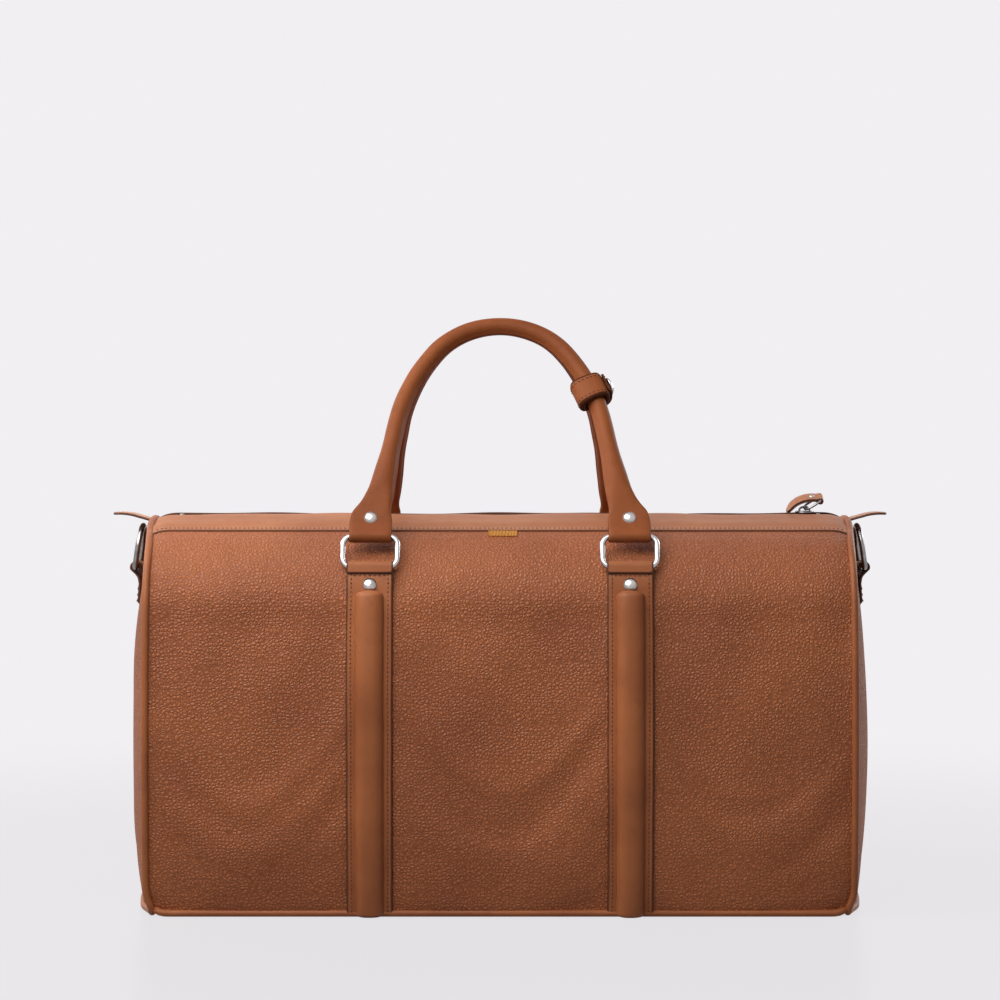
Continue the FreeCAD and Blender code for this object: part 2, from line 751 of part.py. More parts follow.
def make_keeper():
    """A leather sleeve round the handle, a flap over it, and a snap that holds the flap."""
    place = handle_place(-1)
    centre = draw_arch("keeper", size("tab_tall"))[3]
    doc.removeObject("keeper_path")
    spread = "keeper_length / flank_radius * 180 / pi"
    start = size("keeper_turn") - math.degrees(size("keeper_length") / size("flank_radius")) / 2

    def sleeve(name, radius, **sizes):
        item = make("Part::Torus", name, Radius1="flank_radius", Radius2=radius, Angle3=spread, **sizes)
        item.Placement = placement(centre, rotation(vector(0, 0, 1), start))
        return item

    def button(name, radius, low, high):
        """A round piece standing on the keeper's outer side."""
        item = make("Part::Cylinder", name, Radius=radius, Height=f"({high}) - ({low})",
                    **at("0", "0", f"flank_radius + ({low})"))
        turn = math.radians(size("keeper_turn"))
        out = vector(math.cos(turn), math.sin(turn), 0)
        wrapped = group(f"{name}_set", [item])
        wrapped.Placement = placement(centre, rotation(vector(0, 0, 1), out))
        return wrapped

    wrap = cut("keeper_wrap", sleeve("wrap_outer", "keeper_outer"), sleeve("wrap_inner", "keeper_inner"))
    wrap.Placement = place
    node(wrap, "keeper")
    stud = button("stud_pin", "stud_width / 2", "keeper_outer + gap / 2", "keeper_outer + stud_tall")
    stud.Placement = place * stud.Placement
    node(stud, "keeper_stud")
    limits = {"Angle1": "-flap_tip", "Angle2": "flap_back"}
    skin = cut("flap_skin", sleeve("flap_full", "flap_outer", **limits), sleeve("flap_room", "flap_inner"))
    flap = cut("flap_piece", skin, button("flap_hole", "stud_width", "keeper_outer", "flap_outer + 2"))
    flap.Placement = place
    node(flap, "keeper_flap")
    ball = "((snap_width / 2)^2 + snap_rise^2) / (2 * snap_rise)"
    globe = make("Part::Sphere", "snap_ball", Radius=ball,
                 **at("0", "0", f"flank_radius + flap_outer + gap + snap_rise - {ball}"))
    slab = make("Part::Cylinder", "snap_slab", Radius="snap_width", Height="snap_rise",
                **at("0", "0", "flank_radius + flap_outer + gap"))
    cap = common("snap_cap", globe, slab)
    turn = math.radians(size("keeper_turn"))
    cap.Placement = place * placement(centre, rotation(vector(0, 0, 1), vector(math.cos(turn), math.sin(turn), 0)))
    node(cap, "keeper_snap_cap")


# ---- end tabs, D-rings and woven tab ----

def make_ends():
    for side, name in ((-1, "left"), (1, "right")):
        turn = mirror_side(-side)
        blade = make("Part::Box", f"{name}_tab_blade", Length="end_tab_length", Width="end_tab_width",
                     Height="end_tab_leather")
        root = vector(size("end_tab_x") - 2, -size("end_tab_width") / 2, size("end_tab_z"))
        blade.Placement = turn * placement(root, rotation(vector(0, 1, 0), -size("end_tab_rise")))
        node(cut(f"{name}_tab_piece", blade, dome(side, "gap")), f"{name}_end_tab")

        bar_x = f"dee_x * {side}"
        y = ("-loop_width / 2", "loop_width / 2")
        patch = common(f"{name}_patch", between_domes(f"{name}_patch_layer", side, "gap + 2 * loop_leather", "gap"),
                       box(f"{name}_patch_reach", half(side, "0", far), y,
                           ("dee_height - loop_tall", "dee_height")))
        neck = cut(f"{name}_neck", box(f"{name}_neck_block", half(side, "dee_x - 12", "dee_x + 2"), y,
                                       ("dee_height - 6", "dee_height - 1")), dome(side, "gap"))
        eye = make("Part::Cylinder", f"{name}_loop_eye", Radius="dee_wire / 2 + gap + loop_leather",
                   Height="loop_width", **at(bar_x, "loop_width / 2", "dee_height"))
        bore = make("Part::Cylinder", f"{name}_loop_bore", Radius="dee_wire / 2 + gap",
                    Height="loop_width + 2", **at(bar_x, "loop_width / 2 + 1", "dee_height"))
        for drum in (eye, bore):
            turned(drum, (1, 0, 0), 90)
        blank = fuse(f"{name}_loop_blank", patch, neck, eye)
        node(cut(f"{name}_loop", blank, bore), f"{name}_ring_loop")

        dee = wire_ring(f"{name}_dee", f"{name}_d_ring", "dee_width", "dee_tall", "dee_corner", "dee_wire", True)
        lean = rotation(vector(0, 1, 0), -size("dee_lean"))
        seat = vector(size("dee_x"), 0, size("dee_height"))
        dee.Placement = turn * placement(seat, lean * along_x)


def make_woven_tab():
    layer = shell("woven_layer", "gap + 1", "gap")
    reach = box("woven_reach", ("woven_x - woven_width / 2", "woven_x + woven_width / 2"),
                half(-1, "seam_half - woven_tall", "seam_half"), ("shoulder_height", far))
    node(common("woven_piece", layer, reach), "woven_tab")


make_panels()
make_bands()
make_piping()
make_base()
make_lining()
make_zip_track()
make_slider()
make_puller()
make_strap_rivets()
make_straps()
make_rings()
make_handle(-1, "front")
make_handle(1, "rear")
make_keeper()
make_ends()
make_woven_tab()
doc.recompute()

# Nothing is written unless every object and every piece is sound.
for item in doc.Objects:
    if "Invalid" in item.State or "Error" in item.State:
        raise RuntimeError(f"{item.Label} failed: {item.State}")
for item in nodes:
    if item.Shape.isNull() or not item.Shape.isValid() or not item.Shape.Solids:
        raise RuntimeError(f"{item.Label} has no sound shape")

os.makedirs("parts", exist_ok=True)
for item in nodes:
    item.Shape.exportStep(f"parts/{item.Label}.step")
    bounds = item.Shape.BoundBox
    print(f"{item.Label}: {len(item.Shape.Solids)} solids, {item.Shape.Volume:.0f} mm3,"
          f" X {bounds.XMin:.1f}..{bounds.XMax:.1f} Y {bounds.YMin:.1f}..{bounds.YMax:.1f}"
          f" Z {bounds.ZMin:.1f}..{bounds.ZMax:.1f}")
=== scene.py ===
import json
import math

import bmesh
import bpy
import numpy as np
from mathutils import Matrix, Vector


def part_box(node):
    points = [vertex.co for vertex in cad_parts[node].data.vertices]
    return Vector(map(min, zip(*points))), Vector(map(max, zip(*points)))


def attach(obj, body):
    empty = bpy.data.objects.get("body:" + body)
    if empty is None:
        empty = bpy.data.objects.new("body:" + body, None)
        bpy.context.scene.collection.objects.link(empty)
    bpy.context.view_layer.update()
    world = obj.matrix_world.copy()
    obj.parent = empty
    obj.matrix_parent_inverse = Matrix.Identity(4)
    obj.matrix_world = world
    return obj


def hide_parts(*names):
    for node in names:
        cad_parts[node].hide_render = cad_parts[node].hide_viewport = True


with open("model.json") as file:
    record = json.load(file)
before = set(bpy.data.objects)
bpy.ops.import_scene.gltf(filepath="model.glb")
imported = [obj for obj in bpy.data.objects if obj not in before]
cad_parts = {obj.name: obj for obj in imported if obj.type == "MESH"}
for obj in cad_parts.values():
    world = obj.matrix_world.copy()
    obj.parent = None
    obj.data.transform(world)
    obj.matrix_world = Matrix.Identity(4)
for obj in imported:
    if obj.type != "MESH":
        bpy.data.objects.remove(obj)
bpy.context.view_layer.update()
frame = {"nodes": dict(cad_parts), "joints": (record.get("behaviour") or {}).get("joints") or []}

mm = 0.001
faceSides = ((-1, "front"), (1, "rear"))
endSides = ((-1, "left"), (1, "right"))
jointAt = {j["name"]: np.array(j["pos_m"]) / mm for j in frame["joints"] if "pos_m" in j}
print("frame loaded")


def boxOf(node):
    low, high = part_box(node)
    return np.array(low) / mm, np.array(high) / mm


def centreOf(node):
    low, high = boxOf(node)
    return (low + high) / 2


def ease(t):
    t = np.clip(t, 0, 1)
    return t * t * (3 - 2 * t)


def unit(v):
    return v / np.maximum(np.linalg.norm(v, axis=-1, keepdims=True), 1e-9)


def runAlong(points):
    # the length walked along a line, at each of its points
    return np.concatenate([[0], np.cumsum(np.linalg.norm(np.diff(points, axis=0), axis=1))])


def fullTurn(count):
    return np.linspace(0, 2 * math.pi, count, endpoint=False)


def gridOf(u, v):
    return np.meshgrid(u, v, indexing="ij")


def mirrored(edges, rest, count):
    # even places from -rest to rest, and the closer places of the edges at both ends
    edges = np.array(edges, float)
    return np.concatenate([-edges, np.linspace(-rest, rest, count), edges[::-1]])


def newMesh(name, points, edges, faces):
    mesh = bpy.data.meshes.new(name)
    mesh.from_pydata((np.asarray(points, float) * mm).tolist(), edges, faces)
    return mesh


def newObject(name, data):
    made = bpy.data.objects.new(name, data)
    bpy.context.scene.collection.objects.link(made)
    return made


def settle(name, mesh, body, replaced):
    # ties a finished mesh to its body and hides the parts it stands for
    piece = newObject(name, mesh)
    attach(piece, body)
    if replaced:
        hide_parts(*replaced)
    return piece


def paint(red, green, blue):
    # screen values 0 to 255 as a linear colour
    def linear(c):
        c /= 255
        return c / 12.92 if c <= 0.04045 else ((c + 0.055) / 1.055) ** 2.4
    return (linear(red), linear(green), linear(blue), 1)


class Wire:
    # a node socket that takes part in plain arithmetic
    def __init__(self, tree, socket=None):
        self.tree, self.socket = tree, socket

    def node(self, kind, settings=None, sockets=None, out=0):
        made = self.tree.nodes.new(kind)
        for key, value in (settings or {}).items():
            if key == "stops":
                ramp = made.color_ramp.elements
                while len(ramp) < len(value):
                    ramp.new(0.5)
                for stop, (place, colour) in zip(ramp, value):
                    stop.position, stop.color = place, colour
            else:
                setattr(made, key, value)
        for key, value in (sockets or {}).items():
            if isinstance(value, Wire):
                self.tree.links.new(value.socket, made.inputs[key])
            else:
                made.inputs[key].default_value = value
        return Wire(self.tree, made.outputs[out] if len(made.outputs) else None)

    def sibling(self, out):
        return Wire(self.tree, self.socket.node.outputs[out])

    def maths(self, operation, *values):
        return self.node("ShaderNodeMath", {"operation": operation}, dict(enumerate(values)))

    def least(self, other):
        return self.maths("MINIMUM", self, other)

    def __add__(self, other):
        return self.maths("ADD", self, other)

    def __radd__(self, other):
        return self.maths("ADD", other, self)

    def __sub__(self, other):
        return self.maths("SUBTRACT", self, other)

    def __rsub__(self, other):
        return self.maths("SUBTRACT", other, self)

    def __mul__(self, other):
        return self.maths("MULTIPLY", self, other)

    def __rmul__(self, other):
        return self.maths("MULTIPLY", other, self)

    def ramp(self, low, high):
        # 0 below low, 1 above high, smooth in between
        return self.node("ShaderNodeMapRange", {"interpolation_type": "SMOOTHSTEP"},
                         {"Value": self, "From Min": low, "From Max": high})

    def mix(self, first, second):
        # self is the factor between two colours
        return self.node("ShaderNodeMix", {"data_type": "RGBA"}, {0: self, 6: first, 7: second}, out=2)


def newMaterial(name):
    material = bpy.data.materials.new(name)
    material.use_nodes = True
    material.node_tree.nodes.clear()
    return material, Wire(material.node_tree)


def closeMaterial(net, **sockets):
    names = {"baseColour": "Base Color", "roughness": "Roughness", "metallic": "Metallic", "normal": "Normal",
             "specular": "Specular IOR Level"}
    shader = net.node("ShaderNodeBsdfPrincipled", None, {names[k]: v for k, v in sockets.items()})
    net.node("ShaderNodeOutputMaterial", None, {"Surface": shader})


def objectPlace(net):
    return net.node("ShaderNodeTexCoord", None, None, out="Object")


def noise(net, place, scale, detail=3, roughness=0.5, out=0):
    sockets = {"Vector": place, "Scale": scale, "Detail": detail, "Roughness": roughness}
    return net.node("ShaderNodeTexNoise", None, sockets, out)


def cells(net, place, scale, randomness=1.0, feature="F1", out="Distance"):
    sockets = {"Vector": place, "Scale": scale, "Randomness": randomness}
    return net.node("ShaderNodeTexVoronoi", {"feature": feature}, sockets, out)


def bump(net, height, distance, strength):
    return net.node("ShaderNodeBump", None, {"Height": height, "Distance": distance, "Strength": strength})


# crease is the colour of painted shade in the creases between pebbles
grainLook = {
    "light": paint(172, 99, 56), "mid": paint(146, 79, 42), "dark": paint(118, 60, 31), "crease": paint(92, 43, 21),
    "pebbleScale": 420, "pebbleSpread": 0.86, "swirlScale": 95.0, "swirl": 0.0013, "fineScale": 1500,
    "broadScale": 9.0, "patchScale": 42.0, "depth": 0.00058, "roughness": 0.43, "shine": 0.34,
}


def pebbledLeather(name="pebbledLeather", shine=grainLook["shine"]):
    g = grainLook
    material, net = newMaterial(name)
    place = objectPlace(net)
    swirl = noise(net, place, g["swirlScale"], 2.0, out="Color")
    warped = net.node("ShaderNodeMix", {"data_type": "VECTOR"}, {0: g["swirl"], 4: place, 5: swirl}, out=1)
    pebble = cells(net, warped, g["pebbleScale"], g["pebbleSpread"], "DISTANCE_TO_EDGE")
    tone = cells(net, warped, g["pebbleScale"], g["pebbleSpread"], out="Color")
    toneValue = net.node("ShaderNodeSeparateColor", None, {"Color": tone}, out=0)
    fine = noise(net, place, g["fineScale"])
    broad = noise(net, place, g["broadScale"])
    patch = noise(net, place, g["patchScale"], 4, 0.6)
    dome = pebble.ramp(-0.05, 0.46)
    # crease marks the creases between pebbles: it darkens them with painted shade and makes them rougher
    crease = 1 - pebble.ramp(0.0, 0.16)
    base = broad.ramp(0.3, 0.72).mix(g["mid"], g["light"])
    base = (patch.ramp(0.4, 0.85) * 0.12).mix(base, g["dark"])
    # tone that differs at random from pebble to pebble, plus a painted highlight that lightens each pebble's domed
    # top
    base = (toneValue * 0.10 + dome * 0.22).mix(base, g["light"])
    # painted shade: the creases are darkened towards the crease colour
    colour = (crease * 0.5).mix(base, g["crease"])
    height = dome * (0.85 + 0.15 * toneValue) + fine * 0.05 + patch * 0.22
    rough = g["roughness"] + 0.12 * crease + 0.08 * fine - 0.05 * dome
    closeMaterial(net, baseColour=colour, roughness=rough, specular=shine, normal=bump(net, height, g["depth"], 0.9))
    return material


smoothLook = {
    "light": paint(162, 95, 54), "mid": paint(142, 79, 43), "dark": paint(108, 56, 30), "edge": paint(58, 26, 15),
    "poreScale": 1700, "broadScale": 17.0, "streakScale": 120.0, "fineScale": 900.0,
    "roughness": 0.40, "depth": 0.00008, "shine": 0.3,
}


def smoothLeather(name="smoothLeather", **other):
    look = {**smoothLook, **other}
    material, net = newMaterial(name)
    place = objectPlace(net)
    edge = net.node("ShaderNodeAttribute", {"attribute_name": "edge"}, None, out="Fac")
    pores = cells(net, place, look["poreScale"])
    broad = noise(net, place, look["broadScale"])
    streak = noise(net, place, look["streakScale"], 5, 0.65)
    fine = noise(net, place, look["fineScale"])
    base = broad.ramp(0.3, 0.7).mix(look["mid"], look["light"])
    base = (streak.ramp(0.5, 0.8) * 0.30).mix(base, look["dark"])
    worn = 1 - edge.ramp(0.6, 2.6)
    painted = 1 - edge.ramp(0.05, 0.55)
    base = (worn * 0.28).mix(base, look["light"])
    colour = (painted * 0.85).mix(base, look["edge"])
    height = streak * 0.5 + pores * 0.5 + fine * 0.3
    rough = look["roughness"] + 0.14 * streak + 0.12 * painted + 0.05 * fine
    closeMaterial(net, baseColour=colour, roughness=rough, specular=look["shine"],
                  normal=bump(net, height, look["depth"], 0.7))
    return material


def polishedMetal(name, bright, dark, roughness):
    material, net = newMaterial(name)
    place = objectPlace(net)
    cloud = noise(net, place, 160.0, 4, 0.6)
    hair = noise(net, net.node("ShaderNodeMapping", None, {"Vector": place, "Scale": (300.0, 300.0, 900.0)}), 1.0)
    colour = (cloud.ramp(0.35, 0.75) * 0.45).mix(paint(*bright), paint(*dark))
    rough = roughness + 0.08 * cloud + 0.05 * hair
    closeMaterial(net, baseColour=colour, roughness=rough, metallic=1.0, normal=bump(net, hair, 0.00001, 0.2))
    return material


def thread():
    material, net = newMaterial("waxedThread")
    fibre = noise(net, objectPlace(net), 2600.0)
    colour = fibre.ramp(0.3, 0.8).mix(paint(84, 42, 22), paint(140, 82, 48))
    closeMaterial(net, baseColour=colour, roughness=0.55 + 0.2 * fibre, normal=bump(net, fibre, 0.0001, 0.6))
    return material


def needleHoleShade():
    # painted shade: near-black beads stand for the shaded holes where the thread enters the leather
    material, net = newMaterial("needleHoleShade")
    fibre = noise(net, objectPlace(net), 1800.0, 2)
    colour = fibre.mix(paint(20, 9, 6), paint(40, 18, 11))
    closeMaterial(net, baseColour=colour, roughness=0.8 + 0.1 * fibre)
    return material


def wovenCloth(name, light, dark, pitch):
    material, net = newMaterial(name)
    place = objectPlace(net)
    split = net.node("ShaderNodeSeparateXYZ", None, {"Vector": place}, out=0)
    along = split.sibling(1) + split.sibling(2)
    turns = 2 * math.pi / pitch
    warp, weft = (net.maths("SINE", way * turns) for way in (split, along))
    weave = (warp * weft) * 0.5 + 0.5
    fuzz = noise(net, place, 2200.0)
    shade = noise(net, place, 28.0)
    colour = (weave * 0.7 + fuzz * 0.3).mix(paint(*dark), paint(*light))
    colour = (shade.ramp(0.4, 0.8) * 0.25).mix(colour, paint(*dark))
    rough = 0.78 + 0.12 * fuzz
    closeMaterial(net, baseColour=colour, roughness=rough, normal=bump(net, weave + fuzz * 0.4, 0.0002, 0.7))
    return material


def twistedRope():
    material, net = newMaterial("twistedRope")
    sockets = {"Vector": objectPlace(net), "Scale": 160.0, "Distortion": 1.2, "Detail": 2.0}
    wave = net.node("ShaderNodeTexWave", {"wave_type": "BANDS", "bands_direction": "DIAGONAL"}, sockets, out="Fac")
    colour = wave.mix(paint(150, 138, 112), paint(214, 204, 180))
    closeMaterial(net, baseColour=colour, roughness=0.85 + 0.08 * wave, normal=bump(net, wave, 0.0006, 0.8))
    return material


def fibreBoard():
    material, net = newMaterial("fibreBoard")
    fleck = noise(net, objectPlace(net), 700.0, 4, 0.7)
    colour = fleck.ramp(0.35, 0.75).mix(paint(44, 40, 38), paint(84, 76, 70))
    closeMaterial(net, baseColour=colour, roughness=0.7 + 0.15 * fleck, normal=bump(net, fleck, 0.0001, 0.5))
    return material


finish = {
    "pebbled": pebbledLeather(),
    "endPebbled": pebbledLeather("endPebbledLeather", 0.1),
    "handle": smoothLeather("handleLeather", light=paint(146, 82, 46), mid=paint(127, 68, 37),
                            dark=paint(98, 50, 27), shine=0.1),
    "smooth": smoothLeather(),
    "band": smoothLeather("bandLeather", light=paint(172, 109, 70), mid=paint(156, 94, 58),
                          dark=paint(126, 72, 43), shine=0.24),
    "pale": smoothLeather("paleLeather", light=paint(196, 144, 114), mid=paint(172, 112, 80),
                          dark=paint(132, 76, 50), edge=paint(72, 36, 22)),
    "metal": polishedMetal("darkNickel", (196, 192, 188), (96, 92, 92), 0.2),
    "chrome": polishedMetal("brightNickel", (190, 188, 188), (104, 102, 104), 0.12),
    "gun": polishedMetal("gunMetal", (150, 148, 148), (62, 60, 62), 0.16),
    "thread": thread(),
    "hole": needleHoleShade(),
    "tape": wovenCloth("zipTape", (128, 72, 50), (78, 38, 26), 0.0011),
    "ochre": wovenCloth("ochreWeave", (206, 142, 52), (140, 84, 28), 0.0009),
    "lining": wovenCloth("cottonLining", (182, 158, 124), (134, 110, 82), 0.0014),
    "rope": twistedRope(),
    "board": fibreBoard(),
}
dict.fromkeys(("pebbled", "endPebbled"), "pebbled_leather")
dict.fromkeys(("handle", "smooth", "band", "pale"), "smooth_leather")
dict.fromkeys(("metal", "chrome", "gun"), "dark_metal")
print("materials made:", len(finish))


def addPiece(name, points, faces, look, body, replaced=(), edge=None):
    mesh = newMesh(name, points, [], faces)
    if edge is not None:
        mesh.attributes.new("edge", "FLOAT", "POINT").data.foreach_set("value", np.asarray(edge, np.float32))
    work = bmesh.new()
    work.from_mesh(mesh)
    bmesh.ops.recalc_face_normals(work, faces=work.faces)
    work.to_mesh(mesh)
    work.free()
    mesh.polygons.foreach_set("use_smooth", [True] * len(mesh.polygons))
    mesh.materials.append(finish[look])
    return settle(name, mesh, body, replaced)


def gridNormals(grid, wrapped=False):
    down = np.roll(grid, -1, 0) - np.roll(grid, 1, 0) if wrapped else np.gradient(grid, axis=0)
    return unit(np.cross(down, np.gradient(grid, axis=1)))


def spanFromEdge(grid, axis):
    # distance of each grid point from the nearer end of its row, in mm
    steps = np.linalg.norm(np.diff(grid, axis=axis), axis=-1)
    run = np.concatenate([np.zeros_like(np.take(steps, [0], axis)), np.cumsum(steps, axis)], axis)
    return np.minimum(run, np.take(run, [-1], axis) - run)


def slab(name, outer, thickness, look, body, replaced=(), wrapped=False, flip=False, inner=None, roll=0.9):
    # a sheet of real thickness over a grid of points, its cut edges rounded
    outer = np.asarray(outer, float)
    if inner is None:
        inner = outer - gridNormals(outer, wrapped) * (-1 if flip else 1) * thickness
    rows, columns = outer.shape[:2]
    edge = np.minimum(spanFromEdge(outer, 1), 99.0)
    if not wrapped:
        edge = np.minimum(edge, spanFromEdge(outer, 0))
    points = [outer.reshape(-1, 3), inner.reshape(-1, 3)]
    edges = [edge.ravel(), edge.ravel()]
    count = rows * columns
    faces = []
    for i in range(rows if wrapped else rows - 1):
        for j in range(columns - 1):
            a, b = i * columns + j, (i + 1) % rows * columns + j
            faces += [(a, b, b + 1, a + 1), (a + 1 + count, b + 1 + count, b + count, a + count)]
    if wrapped:
        loops = [[(i, 0) for i in range(rows)], [(i, columns - 1) for i in range(rows)]]
    else:
        loops = [[(i, 0) for i in range(rows - 1)] + [(rows - 1, j) for j in range(columns - 1)]
                 + [(i, columns - 1) for i in range(rows - 1, 0, -1)] + [(0, j) for j in range(columns - 1, 0, -1)]]
    total = 2 * count
    for loop in loops:
        outward = []
        for i, j in loop:
            away = np.zeros(3)
            if not wrapped and i in (0, rows - 1):
                away += unit(outer[i, j] - outer[1 if i == 0 else rows - 2, j])
            if j in (0, columns - 1):
                away += unit(outer[i, j] - outer[i, 1 if j == 0 else columns - 2])
            outward.append(unit(away))
        outward = np.array(outward)
        index = np.array([i * columns + j for i, j in loop])
        high, low = outer.reshape(-1, 3)[index], inner.reshape(-1, 3)[index]
        middle, half = (high + low) / 2, (high - low) / 2
        reach = np.linalg.norm(half, axis=1, keepdims=True)
        rings = [index]
        for turn in (45, 90, 135):
            angle = math.radians(turn)
            points.append(middle + half * math.cos(angle) + outward * reach * roll * math.sin(angle))
            edges.append(np.zeros(len(loop)))
            rings.append(np.arange(total, total + len(loop)))
            total += len(loop)
        rings.append(index + count)
        for first, second in zip(rings, rings[1:]):
            for k in range(len(loop)):
                n = (k + 1) % len(loop)
                faces.append((int(first[k]), int(first[n]), int(second[n]), int(second[k])))
    return addPiece(name, np.concatenate(points), faces, look, body, replaced, np.concatenate(edges))


def loft(name, rings, look, body, replaced=(), closed=False, edge=None):
    # skin over rings of points, with its ends closed to a pole
    rings = np.asarray(rings, float)
    count, around = rings.shape[:2]
    points = rings.reshape(-1, 3)
    faces = [(i * around + j, (i + 1) % count * around + j, (i + 1) % count * around + (j + 1) % around,
              i * around + (j + 1) % around)
             for i in range(count if closed else count - 1) for j in range(around)]
    if not closed:
        start, end = len(points), len(points) + 1
        points = np.concatenate([points, rings[0].mean(0, keepdims=True), rings[-1].mean(0, keepdims=True)])
        faces += [(start, j, (j + 1) % around) for j in range(around)]
        last = (count - 1) * around
        faces += [(end, last + (j + 1) % around, last + j) for j in range(around)]
    edges = np.full(len(points), 99.0) if edge is None else np.append(edge, [99.0] * (len(points) - len(edge)))
    return addPiece(name, points, faces, look, body, replaced, edges)


def sweepRings(path, reference, radius, sides=16, closed=False):
    path = np.asarray(path, float)
    tangent = unit(np.roll(path, -1, 0) - np.roll(path, 1, 0) if closed else np.gradient(path, axis=0))
    across = unit(np.cross(tangent, np.asarray(reference, float)))
    up = np.cross(across, tangent)
    turn = fullTurn(sides)
    wide, tall = np.broadcast_to(radius, 2)
    return (path[:, None] + across[:, None] * (wide * np.cos(turn))[:, None]
            + up[:, None] * (tall * np.sin(turn))[:, None])


def sweep(name, path, reference, radius, look, body, replaced=(), sides=16, closed=False):
    return loft(name, sweepRings(path, reference, radius, sides, closed), look, body, replaced, closed)


def turned(name, outline, origin, axis, look, body, replaced=(), sides=32):
    # a shape spun round an axis from (radius, height) pairs
    axis = unit(np.asarray(axis, float))
    first = unit(np.cross(axis, (0.31, 0.87, 0.38)))
    second = np.cross(axis, first)
    turn = fullTurn(sides)
    circle = first * np.cos(turn)[:, None] + second * np.sin(turn)[:, None]
    rings = [np.asarray(origin) + circle * r + axis * h for r, h in outline]
    return loft(name, rings, look, body, replaced)


def densePath(corners, step=2.0, closed=False):
    # an even walk along a rounded line of corner points
    corners = np.asarray(corners, float)
    if closed:
        corners = np.concatenate([corners, corners[:1]])
    run = runAlong(corners)
    count = max(3, int(round(run[-1] / step)) + 1)
    at = np.linspace(0, run[-1], count)[:-1] if closed else np.linspace(0, run[-1], count)
    return np.stack([np.interp(at, run, corners[:, k]) for k in range(3)], 1)


def curveThrough(points, count):
    # a smooth line through a few points
    points = np.asarray(points, float)
    padded = np.concatenate([[2 * points[0] - points[1]], points, [2 * points[-1] - points[-2]]])
    line = []
    for a, b, c, d in zip(padded, padded[1:], padded[2:], padded[3:]):
        for t in np.linspace(0, 1, 12, endpoint=False):
            line.append(0.5 * (2 * b + (c - a) * t + (2 * a - 5 * b + 4 * c - d) * t ** 2
                               + (3 * b - a - 3 * c + d) * t ** 3))
    line.append(points[-1])
    line = np.array(line)
    run = runAlong(line)
    at = np.linspace(0, run[-1], count)
    return np.stack([np.interp(at, run, line[:, k]) for k in range(line.shape[1])], 1)


stitchLines = {}


def addStitches(body, line):
    stitchLines.setdefault(body, []).append(np.asarray(line, float))


rivetSpots = {}


def addRivet(body, place, normal, radius=4.5):
    rivetSpots.setdefault(body, []).append((np.asarray(place, float), unit(np.asarray(normal, float)), radius))


def turnRound(points, side):
    # the rear is the front turned half a turn about the upright axis
    return np.asarray(points) * ((1, 1, 1) if side < 0 else (-1, -1, 1))


shell = {
    "wallRadius": 670, "wallCentre": -545, "bellyHeight": 110, "wallTop": 207.5,
    "shoulderRadius": 62, "shoulderCentre": (56.53, 198.5), "crownRadius": 172.9, "crownCentre": 97.1,
    "seamX": 239.0, "waves": (0.8, 0.5, 0.3), "tuck": 2.6, "lipDepth": 1.6, "droop": 4.5,
    "topBow": 5.2, "footLift": 3.6, "footTuck": 4.5, "leather": 2.6, "endPeak": 257.6, "endCentre": 110.0,
    "pillow": 2.2, "endBow": 11.0, "seamLift": 60.0,
}


def halfProfile():
    s = shell
    heights = np.linspace(0, s["wallTop"], 90)
    wall = np.stack([np.sqrt(s["wallRadius"] ** 2 - (heights - s["bellyHeight"]) ** 2) + s["wallCentre"], heights], 1)
    start = math.atan2(s["wallTop"] - s["shoulderCentre"][1], wall[-1, 0] - s["shoulderCentre"][0])
    turn = np.linspace(start, math.pi / 2, 44)[1:]
    shoulder = np.stack([s["shoulderCentre"][0] + s["shoulderRadius"] * np.cos(turn),
                         s["shoulderCentre"][1] + s["shoulderRadius"] * np.sin(turn)], 1)
    across = np.linspace(s["shoulderCentre"][0], 0, 28)[1:]
    crown = np.stack([across, s["crownCentre"] + np.sqrt(s["crownRadius"] ** 2 - across ** 2)], 1)
    return np.concatenate([wall, shoulder, crown])


handleFoot = centreOf("front_right_strap")[0]
profile = halfProfile()
girth = runAlong(profile)


def girthAtWidth(wide):
    # the length along the section up to a half width of the shoulder or the crown
    return np.interp(-wide, -profile[:, 0][100:], girth[100:])


seamGirth = float(girthAtWidth(shell["seamLift"]))


def girthAtHeight(height):
    return float(np.interp(height, profile[:, 1], girth))


sagLook = {
    "columns": 97, "rows": 57, "frames": 16, "slack": 0.012, "weight": 0.5, "most": 1.7, "fadeFrom": 196,
    "fadeTo": 222, "heldBeside": 14.5,
}
clothLook = {
    "quality": 6, "mass": 0.4, "tension_stiffness": 30, "compression_stiffness": 30, "shear_stiffness": 12,
    "bending_stiffness": 1.5, "air_damping": 4,
}
sagField = {}


def sagOffset(x, along, side):
    # how far the hung leather moved at a place of the wall
    field = sagField[side]
    u = np.clip((x / shell["seamX"] + 1) / 2, 0, 1) * (sagLook["columns"] - 1)
    v = np.clip(along / seamGirth, 0, 1) * (sagLook["rows"] - 1)
    i, j = np.minimum(u.astype(int), sagLook["columns"] - 2), np.minimum(v.astype(int), sagLook["rows"] - 2)
    s, t = (u - i)[..., None], (v - j)[..., None]
    return ((field[i, j] * (1 - s) + field[i + 1, j] * s) * (1 - t)
            + (field[i, j + 1] * (1 - s) + field[i + 1, j + 1] * s) * t)


